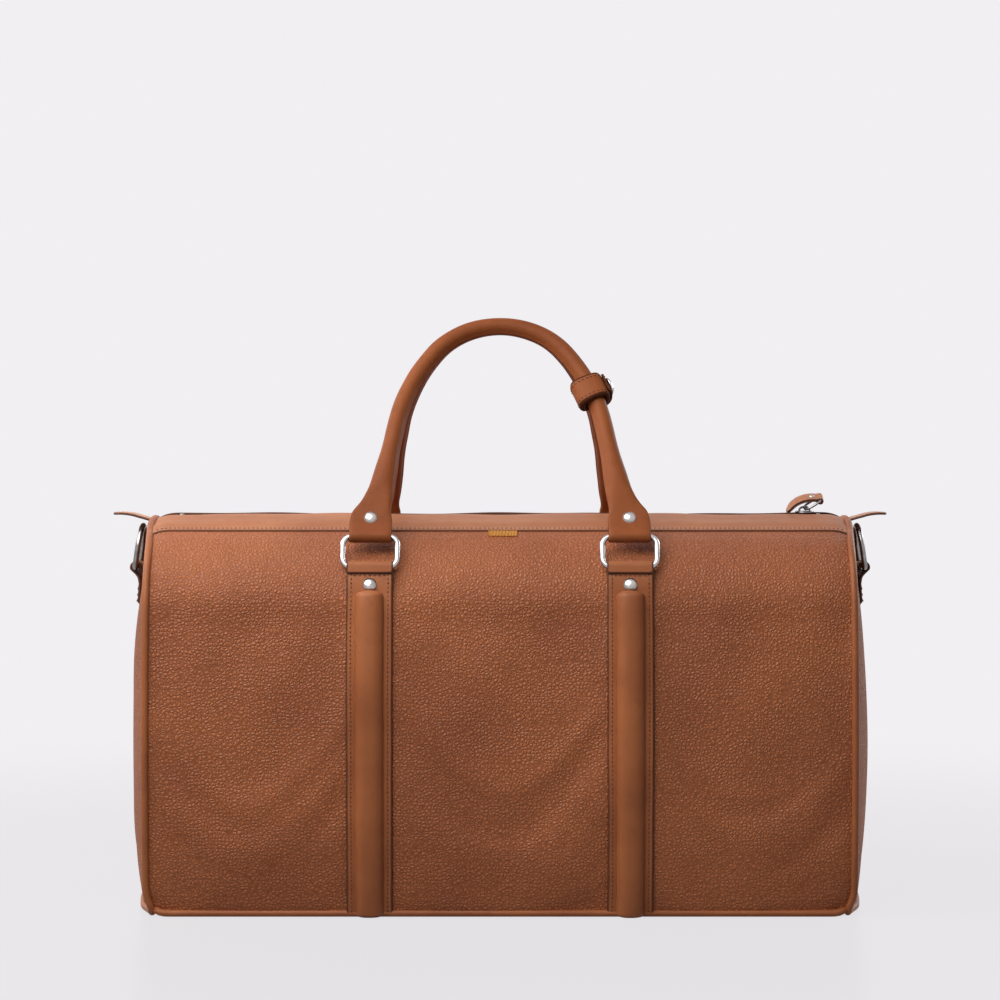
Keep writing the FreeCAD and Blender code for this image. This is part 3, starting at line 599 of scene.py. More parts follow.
def hangWall(side):
    # a cloth run on a thin copy of one wall, held at its seams and along the sewn straps
    columns, rows = sagLook["columns"], sagLook["rows"]
    x, along = np.linspace(-shell["seamX"], shell["seamX"], columns), np.linspace(0, seamGirth, rows)
    rest = skin(*gridOf(x, along), side)
    faces = [(i * rows + j, (i + 1) * rows + j, (i + 1) * rows + j + 1, i * rows + j + 1)
             for i in range(columns - 1) for j in range(rows - 1)]
    sheet = newObject("hangingWall", newMesh("hangingWall", rest.reshape(-1, 3), [], faces))
    pins = sheet.vertex_groups.new(name="sewn")
    underStrap = np.abs(np.abs(x) - handleFoot) < sagLook["heldBeside"]
    held = [i * rows + j for i in range(columns) for j in range(rows)
            if i in (0, columns - 1) or j in (0, rows - 1) or underStrap[i] or rest[i, j, 2] > sagLook["fadeTo"]]
    pins.add(held, 1.0, "REPLACE")
    cloth = sheet.modifiers.new("hang", "CLOTH")
    for key, value in clothLook.items():
        setattr(cloth.settings, key, value)
    cloth.settings.vertex_group_mass = "sewn"
    cloth.settings.shrink_min = -sagLook["slack"]
    cloth.settings.effector_weights.gravity = sagLook["weight"]
    cloth.point_cache.frame_start, cloth.point_cache.frame_end = 1, sagLook["frames"]
    for step in range(1, sagLook["frames"] + 1):
        bpy.context.scene.frame_set(step)
    hung = sheet.evaluated_get(bpy.context.evaluated_depsgraph_get()).to_mesh()
    moved = np.empty(len(hung.vertices) * 3)
    hung.vertices.foreach_get("co", moved)
    bpy.context.scene.frame_set(1)
    bpy.data.objects.remove(sheet)
    field = moved.reshape(columns, rows, 3) / mm - rest
    for _ in range(2):
        field[1:-1, 1:-1] = (field[1:-1, 1:-1] * 2 + field[:-2, 1:-1] + field[2:, 1:-1]
                             + field[1:-1, :-2] + field[1:-1, 2:]) / 6
    length = np.linalg.norm(field, axis=-1, keepdims=True)
    field = field * sagLook["most"] * np.tanh(length / sagLook["most"]) / np.maximum(length, 1e-6)
    fade = 1 - ease((rest[..., 2:] - sagLook["fadeFrom"]) / (sagLook["fadeTo"] - sagLook["fadeFrom"]))
    print("wall hung:", side, "largest move in mm", round(float(length.max()), 2))
    return field * fade


def topBow(wide, high):
    # the ends stand out a little round the zip's ends
    return shell["topBow"] * ease((105 - np.abs(wide)) / 90) * ease((high - 225) / 35)


def footLift(x, wide):
    # the corners of the foot are soft and stand a little off the ground
    return shell["footLift"] * ease((np.abs(x) - 224) / 15) ** 1.5 * ease((np.abs(wide) - 84) / 32)


def footTuck(wide, high):
    # and they draw in a little
    return shell["footTuck"] * (1 - ease(high / 18)) * ease((np.abs(wide) - 78) / 36)


def skin(x, along, side):
    # the outer surface at x and at a length along the section, from the foot up
    x, along = np.broadcast_arrays(np.asarray(x, float), np.asarray(along, float))
    wide, high = np.interp(along, girth, profile[:, 0]), np.interp(along, girth, profile[:, 1])
    end = np.abs(x) / shell["seamX"]
    wall = ease(high / 40) * ease((262 - high) / 60)
    broad, short, small = shell["waves"]
    wave = (broad * np.sin(x * 0.023 + 1.1 + side) * np.sin(high * 0.026 + 0.4)
            + short * np.sin(x * 0.051 + high * 0.037 + 2.0 * side) + small * np.sin(x * 0.09 - high * 0.06))
    wide = wide - shell["tuck"] * end ** 10 * ease(wide / 40) + wave * wall * (1 - end ** 6)
    high = high - shell["droop"] * np.clip((np.abs(x) - 225) / 14, 0, 1) ** 2.6 * ease((high - 240) / 28)
    out = x + np.sign(x) * (topBow(wide, high) - footTuck(wide, high)) * end ** 8
    high = high + footLift(x, wide) * (1 - ease(high / 45))
    place = np.stack([out, side * wide, high], -1)
    if side in sagField:
        place = place + sagOffset(x, along, side)
    return place


def skinNormal(x, along, side):
    gap = 0.8
    acrossX = skin(x + gap, along, side) - skin(x - gap, along, side)
    alongUp = skin(x, along + gap, side) - skin(x, np.maximum(along - gap, 0), side)
    return unit(np.cross(alongUp, acrossX)) * side


def onSkin(x, along, lift, side):
    return skin(x, along, side) + skinNormal(x, along, side) * np.asarray(lift)[..., None]


def sheetAbout(name, grid, half, look, body, replaced=()):
    # a sheet that reaches half of its thickness to each side of the grid
    normals = gridNormals(grid)
    slab(name, grid + normals * half, 0, look, body, replaced, inner=grid - normals * half)


def bodyPanels():
    x = np.linspace(-shell["seamX"], shell["seamX"], 170)
    along = np.linspace(1.5, seamGirth + 7, 112)
    gridX, gridAlong = gridOf(x, along)
    for side, name in faceSides:
        grid = skin(gridX, gridAlong, side)
        lip = ease((gridAlong - seamGirth + 4) / 6)   # dives under the top band
        grid = grid + gridNormals(grid) * side * (lip * shell["lipDepth"])[..., None]
        slab(f"{name}PanelLeather", grid, shell["leather"], "pebbled", "bag", [f"{name}_panel"], flip=side > 0)


def seamOutline(count=220):
    # the closed line of the end seam in Y and Z, from the middle of the base round by the front
    s = shell
    walls = np.linspace(0, girth[-1], count // 2 - 18)
    rise = skin(np.full_like(walls, s["seamX"]), walls, 1)[:, 1:]
    across = np.linspace(0, rise[0, 0], 18, endpoint=False)
    base = np.stack([across, footLift(s["seamX"], across)], 1)
    half = np.concatenate([base, rise])
    return np.concatenate([half, half[1:-1][::-1] * (-1, 1)])


def endBow(y, z):
    return shell["endBow"] * (1 - np.clip(np.abs(y) / 113, 0, 1) ** 1.7) * ease((60 - z) / 60)


def endSkin(y, z, reach):
    # X of an end panel's outside, where reach is 0 at its middle and 1 at the seam
    seam = shell["seamX"] + endBow(y, z * 0)
    low = ease((shell["endCentre"] - z) / 100)
    seam = shell["seamX"] + (seam - shell["seamX"]) * low + topBow(y, z) - footTuck(y, z)
    return seam + (shell["endPeak"] - seam) * (1 - reach ** shell["pillow"])


def endPanels():
    outline = seamOutline()
    middle = np.array([0.0, shell["endCentre"]])
    for side, name in endSides:
        rings = []
        for r in np.linspace(0, 1, 34)[1:] ** 0.85:
            flat = middle + (outline - middle) * r
            crease = 0.7 * np.sin(flat[:, 0] * 0.05 + side) * np.sin(flat[:, 1] * 0.043) * (1 - r ** 4)
            x = endSkin(outline[:, 0], outline[:, 1], r) + crease
            rings.append(np.stack([side * x, flat[:, 0], flat[:, 1]], 1))
        outer = np.array(rings)
        inner = (outer - (side * shell["leather"], 0, 0)) * (1, 0.985, 1)
        inner[..., 2] = shell["endCentre"] + (inner[..., 2] - shell["endCentre"]) * 0.985
        pole = np.array([side * shell["endPeak"], 0, shell["endCentre"]])
        points = np.concatenate([outer.reshape(-1, 3), inner.reshape(-1, 3),
                                 [pole, pole - (side * shell["leather"], 0, 0)]])
        rows, columns = outer.shape[:2]
        count, last = rows * columns, (rows - 1) * columns
        faces = []
        for i in range(rows - 1):
            for j in range(columns):
                n = (j + 1) % columns
                quad = (i * columns + j, (i + 1) * columns + j, (i + 1) * columns + n, i * columns + n)
                faces += [quad, tuple(k + count for k in reversed(quad))]
        for j in range(columns):
            n = (j + 1) % columns
            faces += [(2 * count, j, n), (2 * count + 1, count + n, count + j),
                      (last + j, last + n, count + last + n, count + last + j)]
        addPiece(f"{name}EndLeather", points, faces, "endPebbled", "bag", [f"{name}_end_panel"])


pipingLook = {"radius": 2.5, "proud": 0.6}


def endPiping():
    outline = seamOutline(300)
    outward = unit(np.gradient(outline, axis=0))[:, ::-1] * (1, -1)
    for side, name in endSides:
        flat = outline + outward * pipingLook["proud"]
        x = side * (endSkin(outline[:, 0], outline[:, 1], np.ones(len(outline))) + 0.4)
        path = np.stack([x, flat[:, 0], np.maximum(flat[:, 1], pipingLook["radius"] + 0.1)], 1)
        sweep(f"{name}SeamPiping", path, (1, 0, 0), pipingLook["radius"], "smooth", "bag", [f"{name}_piping"],
              sides=14, closed=True)


baseLook = {"thick": 3.0, "piping": (2.7, 2.4)}


def basePieces():
    foot = float(profile[0, 0])
    across = np.linspace(-1, 1, 60)
    y = across * (foot - 3)
    edgeX = shell["seamX"] - 2 + endBow(y, y * 0) - footTuck(y, y * 0)
    grid = np.stack([np.stack([u * edgeX, y, 0.25 + footLift(u * edgeX, y)], 1) for u in np.linspace(-1, 1, 90)])
    slab("baseLeather", grid, -baseLook["thick"], "pebbled", "bag", ["base_panel"])
    front = [(x, -foot - 0.4, 2.5) for x in np.linspace(-230, 230, 120)]
    ends = np.linspace(-foot + 4, foot - 4, 60)
    right = [(shell["seamX"] - 0.5 + float(endBow(v, 0) - footTuck(v, 0)), v, 2.5) for v in ends]
    rear = [(-x, -y, z) for x, y, z in front]
    left = [(-x, -y, z) for x, y, z in right]
    path = densePath(front + right + rear + left, 3.0, closed=True)
    path[:, 2] += footLift(path[:, 0], path[:, 1])
    sweep("baseSeamPiping", path, (0, 0, 1), baseLook["piping"], "smooth", "bag", ["base_piping"],
          sides=14, closed=True)


bandLook = {"inner": 9.0, "outer": 69.0, "thick": 2.2, "lift": 1.1, "stitchFromEdge": 5.0}


def bandPoint(x, wide, side, lift=0.0):
    # the top band's outside at x and at a half width from the zip
    wide = np.asarray(wide, float)
    along = girthAtWidth(wide)
    place = skin(x, along, side)
    rest = 0.45 * np.sin(np.asarray(x) * 0.031 + side) + 0.3 * np.sin(np.asarray(x) * 0.083 + 2 * side)
    height = bandLook["lift"] * ease((wide - 30) / 20) + rest * (1 - ease((wide - 30) / 30)) + lift
    return place + skinNormal(x, along, side) * np.asarray(height)[..., None]


def topBands():
    x = np.concatenate([np.linspace(-240.5, -215, 18), np.linspace(-213, 213, 150), np.linspace(215, 240.5, 18)])
    inner, outer = bandLook["inner"], bandLook["outer"]
    wide = np.concatenate([[inner, inner + 0.6, inner + 1.6], np.linspace(inner + 3, outer - 4, 20),
                           [outer - 2.4, outer - 1.2, outer - 0.4, outer]])
    for side, name in faceSides:
        grid = bandPoint(*gridOf(x, wide), side)
        slab(f"{name}TopBand", grid, bandLook["thick"], "band", "bag", [f"{name}_zip_band"], flip=side < 0)
        row = np.linspace(-234, 234, 240)
        addStitches("bag", bandPoint(row, np.full_like(row, outer - bandLook["stitchFromEdge"]), side, 0.1))


strapLook = {
    "half": boxOf("front_left_strap")[1][0] - centreOf("front_left_strap")[0], "thick": 2.1, "sleeve": 1.7,
    "eye": 3.0, "ribHalf": 9.6, "ribRise": 6.6, "ribTop": 219.8, "ribCap": 5.6, "rivetHeight": 223.3,
    "rivetLift": 4.05, "stitchIn": 2.3,
}


def ringLine(side):
    # the two bars of a handle ring, lower and upper, as (half depth, height)
    face = "front" if side < 0 else "rear"
    low, high = jointAt[f"{face}_rings_hinge"], jointAt[f"{face}_handle_hinge"]
    return abs(low[1]), low[2], abs(high[1]), high[2]


def strapPath(side):
    # (length along the section, lift above the leather) of the strap and of the sleeve round the ring's lower bar
    barWide, barHigh, _, _ = ringLine(side)
    centreWide, centreHigh = shell["shoulderCentre"]
    turn = math.atan2(barHigh - centreHigh, barWide - centreWide)
    start = math.atan2(shell["wallTop"] - centreHigh, 117.9 - centreWide)
    barAlong = girthAtHeight(shell["wallTop"]) + (turn - start) * shell["shoulderRadius"]
    barLift = math.hypot(barHigh - centreHigh, barWide - centreWide) - shell["shoulderRadius"]
    half, eye = strapLook["thick"] / 2, strapLook["eye"]
    main = [(a, half + 0.05) for a in np.linspace(1.7, girthAtHeight(212), 88)]
    main += [(girthAtHeight(h), half + lift) for h, lift in
             ((216, 0.25), (219.5, 0.8), (222.5, 1.5), (226, 2.2), (229, 2.7), (231.5, 2.9), (233.5, 3.0))]
    leaf = strapLook["sleeve"] / 2
    fold = [(girthAtHeight(h), half + lift) for h, lift in
            ((229.9, 4.8), (231.1, 5.2), (232.2, 5.75), (233.1, 6.2))]
    for angle in np.radians(np.linspace(86, -84, 18)):
        fold.append((barAlong + eye * math.cos(angle + 0.1), barLift + eye * math.sin(angle + 0.1)))
    fold += [(girthAtHeight(h), leaf + 0.2) for h in (231, 227.5, 224)]
    return np.array(main), np.array(fold)


def straps():
    for side, face in faceSides:
        for hand in ("left", "right"):
            node = f"{face}_{hand}_strap"
            middle = centreOf(node)[0]
            half = strapLook["half"]
            name = f"{face}{hand.title()}Strap"
            across = mirrored([half, half - 0.6, half - 1.4], half - 2.6, 13)
            main, fold = strapPath(side)
            strapLeaf(name, main, middle, across, strapLook["thick"], side, [node])
            strapLeaf(name + "Fold", fold, middle, across * 1.012, strapLook["sleeve"], side)
            rib(name, middle, side, node)
            strapStitches(middle, side)
            spot = np.array([middle])
            along = np.array([girthAtHeight(strapLook["rivetHeight"])])
            normal = skinNormal(spot, along, side)[0]
            addRivet("bag", onSkin(spot, along, np.array([strapLook["rivetLift"]]), side)[0], normal)


def strapLeaf(name, line, middle, across, thick, side, replaced=()):
    rows = []
    for along, lift in line:
        x = middle + across
        rows.append(onSkin(x, np.full_like(x, along), np.full_like(x, lift), side))
    grid = np.array(rows)
    out = np.sign(gridNormals(grid)[len(grid) // 8, 8, 1] * side)
    sheetAbout(name, grid, out * thick / 2, "smooth", "bag", replaced)


def rib(name, middle, side, node):
    # the padded rib: leather drawn over a core, round at its top and closed at the base
    top = girthAtHeight(strapLook["ribTop"])
    reach, rise, floor = strapLook["ribHalf"], strapLook["ribRise"], strapLook["thick"]
    cap = strapLook["ribCap"]
    along = np.concatenate([np.linspace(2.4, top - cap, 96), top - cap + cap * np.sin(np.linspace(0.08, 1.54, 16))])
    v = np.concatenate([np.linspace(-1, -0.8, 5), np.linspace(-0.72, 0.72, 13), np.linspace(0.8, 1, 5)])
    outer, inner = [], []
    for a in along:
        beyond = max(0.0, (a - (top - cap)) / cap)
        narrow = max(1e-3, 1 - beyond ** 3) ** 0.36
        x = middle + v * reach * narrow
        crest = (1 - np.abs(v) ** 2.6) ** 0.62
        fall = max(0.02, 1 - beyond ** 2.4) ** 0.6
        swell = 1 + 0.03 * math.sin(a * 0.09 + middle)
        outer.append(onSkin(x, np.full_like(x, a), floor + 0.1 + rise * crest * fall * swell, side))
        inner.append(onSkin(x, np.full_like(x, a), np.full_like(x, floor - 0.5), side))
    pad = slab(name + "Rib", np.array(outer), 0, "smooth", "bag", [node + "_core"], inner=np.array(inner), roll=0.3)


def strapStitches(middle, side):
    lift = strapLook["thick"] + 0.12
    reach = strapLook["half"] - strapLook["stitchIn"]
    along = np.linspace(5, girthAtHeight(229), 120)
    raised = lift + 2.55 * ease((along - girthAtHeight(214)) / 16)
    for sign in (-1, 1):
        x = np.full_like(along, middle + sign * reach)
        addStitches("bag", onSkin(x, along, raised, side))
    x = np.linspace(middle - reach + 2.5, middle + reach - 2.5, 12)
    addStitches("bag", onSkin(x, np.full_like(x, girthAtHeight(228.4)), np.full_like(x, lift + 2.55), side))


def ringLoop(lower, upper, span, corner):
    # a rounded rectangle standing on its lower bar
    lower, upper = np.array(lower), np.array(upper)
    rise = upper - lower
    tall = np.linalg.norm(rise)
    rise = rise / tall
    line = []
    for cx, cz, start in ((span / 2 - corner, tall - corner, 0), (-span / 2 + corner, tall - corner, 90),
                          (-span / 2 + corner, corner, 180), (span / 2 - corner, corner, 270)):
        for turn in np.radians(np.linspace(start, start + 90, 9)):
            line.append(lower + np.array([1.0, 0, 0]) * (cx + corner * math.cos(turn))
                        + rise * (cz + corner * math.sin(turn)))
    return densePath(line, 1.1, closed=True), np.cross((1.0, 0, 0), rise)


ringLook = {"wire": 3.8, "corner": 6.0}


def handleRings():
    wire = ringLook["wire"]
    for side, face in faceSides:
        barWide, barHigh, topWide, topHigh = ringLine(side)
        for hand in ("left", "right"):
            node = f"{face}_{hand}_ring"
            low, high = boxOf(node)
            middle = (low[0] + high[0]) / 2
            path, normal = ringLoop((middle, side * barWide, barHigh), (middle, side * topWide, topHigh),
                                    high[0] - low[0] - wire, ringLook["corner"])
            sweep(f"{face}{hand.title()}Ring", path, normal, wire / 2, "chrome", f"{face}_rings", [node], sides=14,
                  closed=True)


handleLook = {
    "apex": 173.7, "topRadius": 57.49, "topTurn": 53, "flankRadius": 140, "flankCentre": (-65.895, 66.554),
    "flankEnd": 80, "foot": 88.0, "radius": 6.0, "tabHalf": 14.5, "leaf": 2.25, "eye": 4.2,
    "flareAt": (11, 13, 16, 18.5, 21, 24, 28, 36, 48, 62, 74),
    "flareHalf": (14.5, 14.4, 14.0, 13.1, 11.8, 10.6, 9.7, 8.8, 7.9, 6.7, 6.0), "bendFrom": 8.0, "bendTo": 38.0,
    "rivetHeight": 14, "lean": 33.092, "ropeFrom": 66,
}


def handleLine():
    # the right half of a handle's middle line, from its foot up to the top, in the handle's own plane
    h = handleLook
    slope = math.tan(math.radians(90 - h["flankEnd"]))
    line = [(h["foot"], s) for s in (-4.15, -3.9, -3.3, -2.3, -1.1, 0.2, 1.8, 3.6, 5.6, 7.8)]
    low, high = h["bendFrom"], h["bendTo"]
    for s in np.linspace(10, high, 18):
        t = (s - low) / (high - low)
        first, second = h["foot"], h["foot"] - slope * high
        line.append((first * (2 * t ** 3 - 3 * t ** 2 + 1) + second * (3 * t ** 2 - 2 * t ** 3)
                     - slope * (high - low) * (t ** 3 - t ** 2), s))
    flankEnd = math.radians(h["flankEnd"])
    base = h["flankCentre"][1] + h["flankRadius"] * math.cos(flankEnd)
    for s in np.linspace(high, base, 12)[1:]:
        line.append((h["foot"] - slope * s, s))
    for turn in np.radians(np.linspace(h["flankEnd"], h["topTurn"], 16)[1:]):
        line.append((h["flankCentre"][0] + h["flankRadius"] * math.sin(turn),
                     h["flankCentre"][1] + h["flankRadius"] * math.cos(turn)))
    for turn in np.radians(np.linspace(h["topTurn"], 0, 22)[1:]):
        line.append((h["topRadius"] * math.sin(turn), h["apex"] - h["topRadius"] * (1 - math.cos(turn))))
    return np.array(line)


def handleFrame(side):
    # turns (x, height in plane, forward) into the row frame
    pivot = jointAt[("front" if side < 0 else "rear") + "_handle_hinge"]
    lean = math.radians(handleLook["lean"])

    def place(points):
        points = np.asarray(points, float)
        x, s, n = points[..., 0], points[..., 1], points[..., 2]
        front = np.stack([x, -abs(pivot[1]) + s * math.sin(lean) - n * math.cos(lean),
                          pivot[2] + s * math.cos(lean) + n * math.sin(lean)], -1)
        return turnRound(front, side)
    return place


def wholeArch(half):
    return np.concatenate([half * (-1, 1), half[:-1][::-1]])


def outsideOf(tangent):
    return np.stack([-tangent[:, 1], tangent[:, 0]], 1)


def handleSections(half):
    h = handleLook
    line = wholeArch(half)
    tangent = unit(np.gradient(line, axis=0))
    foot = line[:, 1] < 8
    tangent[foot & (line[:, 0] < 0)] = (0, 1)
    tangent[foot & (line[:, 0] > 0)] = (0, -1)
    turn = np.radians(np.concatenate([np.linspace(-172, 172, 42), [176, 180, 184]]))
    rings, edges = [], []
    for (x, s), out in zip(line, outsideOf(tangent)):
        wide = float(np.interp(s, h["flareAt"], h["flareHalf"]))
        grow = (h["tabHalf"] - wide) / (h["tabHalf"] - h["radius"])
        thick = h["leaf"] + (h["radius"] - h["leaf"]) * float(ease((s - 17) / 32))
        if s < 11:
            thick = h["leaf"] + (h["eye"] - h["leaf"]) * (1 - max(s, 0) / 11) ** 1.4
        if s < 0:
            thick = math.sqrt(max(h["eye"] ** 2 - s ** 2, 0.2))
        power = 2 + 4.0 * (1 - float(ease((s - 15) / 30)))
        cos, sin = np.cos(turn), np.sin(turn)
        w = wide * np.sign(cos) * np.abs(cos) ** (2 / power)
        t = thick * np.sign(sin) * np.abs(sin) ** (2 / power)
        swell = 1 + 0.012 * math.sin(s * 0.21 + x * 0.13) * grow
        inside = np.abs(turn - math.pi)
        ridge = 1 + grow * (0.17 * np.exp(-(inside / 0.20) ** 2) - 0.13 * np.exp(-(inside / 0.045) ** 2))
        groove = 1 - (1 - grow) * 0.045 * (np.exp(-(turn / 0.07) ** 2) + np.exp(-(inside / 0.07) ** 2))
        w, t = w * swell * ridge * groove, t * swell
        rings.append(np.stack([x + out[0] * w, s + out[1] * w, t], 1))
        edges.append((1 - grow) * (wide - np.abs(w)) + grow * (0.3 + 16 * inside))
    return np.array(rings), np.array(edges)


def handles():
    half = handleLine()
    for side, face in faceSides:
        place = handleFrame(side)
        rings, edges = handleSections(half)
        body = f"{face}_handle"
        piece = loft(f"{face}RolledHandle", place(rings), "handle", body, [f"{face}_handle"], edge=edges.ravel())
        ropeCore(half, place, face, body)
        for sign in (-1, 1):
            spot = place(np.array([sign * handleLook["foot"], handleLook["rivetHeight"], handleLook["leaf"]]))
            normal = place(np.array([0, 0, 1.0])) - place(np.array([0, 0, 0.0]))
            addRivet(body, spot, normal, 4.4)


def ropeCore(half, place, face, body):
    # three strands twisted inside the rolled leather
    line = wholeArch(half)
    line = line[line[:, 1] > handleLook["ropeFrom"]]
    turn = fullTurn(18)
    rings = []
    for (x, s), out, length in zip(line, outsideOf(unit(np.gradient(line, axis=0))), runAlong(line)):
        reach = 3.5 + 0.45 * np.cos(3 * turn + length * 0.5)
        rings.append(np.stack([x + out[0] * reach * np.cos(turn), s + out[1] * reach * np.cos(turn),
                               reach * np.sin(turn)], 1))
    loft(f"{face}HandleRope", place(np.array(rings)), "rope", body, [f"{face}_handle_core"])


keeperLook = {
    "turn": 68, "half": 8.3, "swell": 1.7, "hollow": 6.35, "square": 2.7, "shift": 1.2,
    "flapFrom": -110, "flapTo": 33, "flapInside": 0.3, "flapOutside": 2.0,
    "wrapStitch": 6.3, "flapStitch": 6.0,
}


def keeperFrame():
    h = handleLook
    turn = math.radians(keeperLook["turn"])
    middle = np.array([h["flankCentre"][0] + h["flankRadius"] * math.sin(turn),
                       h["flankCentre"][1] + h["flankRadius"] * math.cos(turn)])
    out, down = np.array([math.sin(turn), math.cos(turn)]), np.array([math.cos(turn), -math.sin(turn)])
    place = handleFrame(-1)

    def at(angle, radius, along):
        # angle 0 is the outer side of the arch and goes towards the front
        angle, radius, along = np.broadcast_arrays(np.asarray(angle, float), radius, along)
        flat = middle + out * (radius * np.cos(angle))[..., None] + down * (along + keeperLook["shift"])[..., None]
        return place(np.concatenate([flat, (radius * np.sin(angle))[..., None]], -1))
    return at


def keeper():
    k = keeperLook
    at = keeperFrame()
    along = mirrored([8.1, 7.7, 7.0], 6, 9)
    power = k["square"]

    def squarish(angle, radius):
        # flat in front and wider towards the inside of the arch
        wider = 1 + 0.36 * ease((-np.cos(angle) - 0.32) / 0.68)
        outward, upward = np.abs(np.cos(angle)) ** power, np.abs(np.sin(angle) * wider) ** power
        return radius * wider / (outward + upward) ** (1 / power)

    def wrapRadius(angle):
        # thinnest where the flap folds
        away = np.abs(np.angle(np.exp(1j * (angle - math.radians(k["flapFrom"])))))
        return k["half"] + k["swell"] * (1 - np.exp(-(away / 0.87) ** 2))

    gridTurn, gridAlong = gridOf(fullTurn(56), along)
    outer = at(gridTurn, squarish(gridTurn, wrapRadius(gridTurn)), gridAlong)
    inner = at(gridTurn, squarish(gridTurn, k["hollow"]), gridAlong)
    slab("keeperWrap", outer, 0, "handle", "front_handle", ["keeper"], wrapped=True, inner=inner)
    for edge in (-k["wrapStitch"], k["wrapStitch"]):
        ring = np.linspace(math.radians(50), math.radians(208), 42)
        addStitches("front_handle", at(ring, squarish(ring, wrapRadius(ring)) + 0.1, edge))
    flap = np.radians(np.linspace(k["flapFrom"], k["flapTo"], 30))
    gridTurn, gridAlong = gridOf(flap, along * 0.97)
    rounded = 1 - 0.16 * ease((np.linspace(0, 1, len(flap)) - 0.86) / 0.14)[:, None]
    outer = at(gridTurn, squarish(gridTurn, wrapRadius(gridTurn) + k["flapOutside"]), gridAlong * rounded)
    inner = at(gridTurn, squarish(gridTurn, wrapRadius(gridTurn) + k["flapInside"]), gridAlong * rounded)
    slab("keeperFlapLeather", outer, 0, "handle", "keeper_flap", ["keeper_flap"], inner=inner)
    for edge in (-k["flapStitch"], k["flapStitch"]):
        ring = np.radians(np.linspace(-98, 36, 36))
        addStitches("keeper_flap", at(ring, squarish(ring, wrapRadius(ring) + k["flapOutside"]) + 0.1, edge))
    axis = unit(at(0.0, 12.0, 0.0) - at(0.0, 10.0, 0.0))
    outline = [(0.1, 0.0), (5.4, 0.0), (6.1, 0.25), (6.3, 0.8), (6.1, 1.35), (5.5, 1.6), (5.0, 1.75), (4.7, 2.3),
               (3.8, 2.75), (2.4, 3.0), (1.0, 3.08), (0.05, 3.1)]
    seat = at(0.0, float(wrapRadius(0.0)) + k["flapOutside"], 0.0)
    turned("keeperSnapCap", outline, seat, axis, "chrome", "keeper_flap", ["keeper_snap_cap"])


zipLook = {
    "length": 448.0, "pitch": 2.5, "toothHeight": 1.8, "toothReach": 3.7, "sliderX": jointAt["puller_hinge"][0],
    "sliderTop": 271.8, "tapeTop": 266.9, "tapeCurve": 0.012, "tapeThick": 1.1, "teethWide": 1.75, "teethTop": 267.6,
}


def zipTapes():
    for side, name in faceSides:
        rows = []
        for x in np.linspace(-238, 238, 180):
            sink = 1.1 * shell["droop"] * max(0.0, (abs(x) - 225) / 14) ** 2.6
            rows.append([(x, side * w, zipLook["tapeTop"] - zipLook["tapeCurve"] * w * w - sink)
                         for w in (1.5, 2.2, 4, 6, 8, 10, 12, 14, 16)])
        slab(f"{name}ZipTape", rows, zipLook["tapeThick"], "tape", "bag", [f"{name}_zip_tape"], flip=side < 0)


def zipSlider():
    middleX, top = zipLook["sliderX"], zipLook["sliderTop"]
    rows = []
    for t in np.linspace(-1, 1, 17):
        x = middleX + 6.0 * t
        half = 4.4 + 0.7 * math.cos(t * 2.2) - 0.9 * max(0, -t) ** 2
        half *= math.sqrt(max(0.12, 1 - abs(t) ** 7))
        rows.append([(x, v * half, top - 0.5 * v * v - 0.15 * t * t) for v in np.linspace(-1, 1, 11)])
    slab("zipSliderPlate", rows, 1.5, "gun", "zip_slider", ["zip_slider"])
    turn = fullTurn(40)
    pivot = jointAt["puller_hinge"]
    path = np.stack([pivot[0] + 3.7 * np.cos(turn), pivot[1] + 0 * turn, 272.0 + 2.4 * np.sin(turn)], 1)
    sweep("zipSliderBail", path, (0, 1, 0), (0.8, 1.25), "gun", "zip_slider", sides=10, closed=True)


pullLook = {"half": 4.7, "leaf": 1.0, "centre": (221.5, 260.9), "radius": 20.0, "end": 151, "roll": 24}
pullerLook = {"half": 6.5, "wire": 0.85}


def zipPuller():
    lower, upper = jointAt["puller_hinge"], jointAt["pull_hinge"]
    rise = unit(upper - lower)
    tall = float(np.linalg.norm(upper - lower))
    across = unit(np.array([0, 1.0, 0]) + np.cross((0, 1.0, 0), rise) * -math.tan(math.radians(pullLook["roll"] / 2)))
    line = []
    for turn in fullTurn(64):
        c, s = math.cos(turn), math.sin(turn)
        wide = pullerLook["half"] * math.copysign(abs(c) ** 0.62, c)
        high = tall / 2 * (1 + math.copysign(abs(s) ** 0.72, s))
        line.append(lower + across * wide + rise * high)
    sweep("zipPullerRing", densePath(line, 0.8, closed=True), np.cross(across, rise), pullerLook["wire"], "gun",
          "zip_puller", ["zip_puller"], sides=10, closed=True)


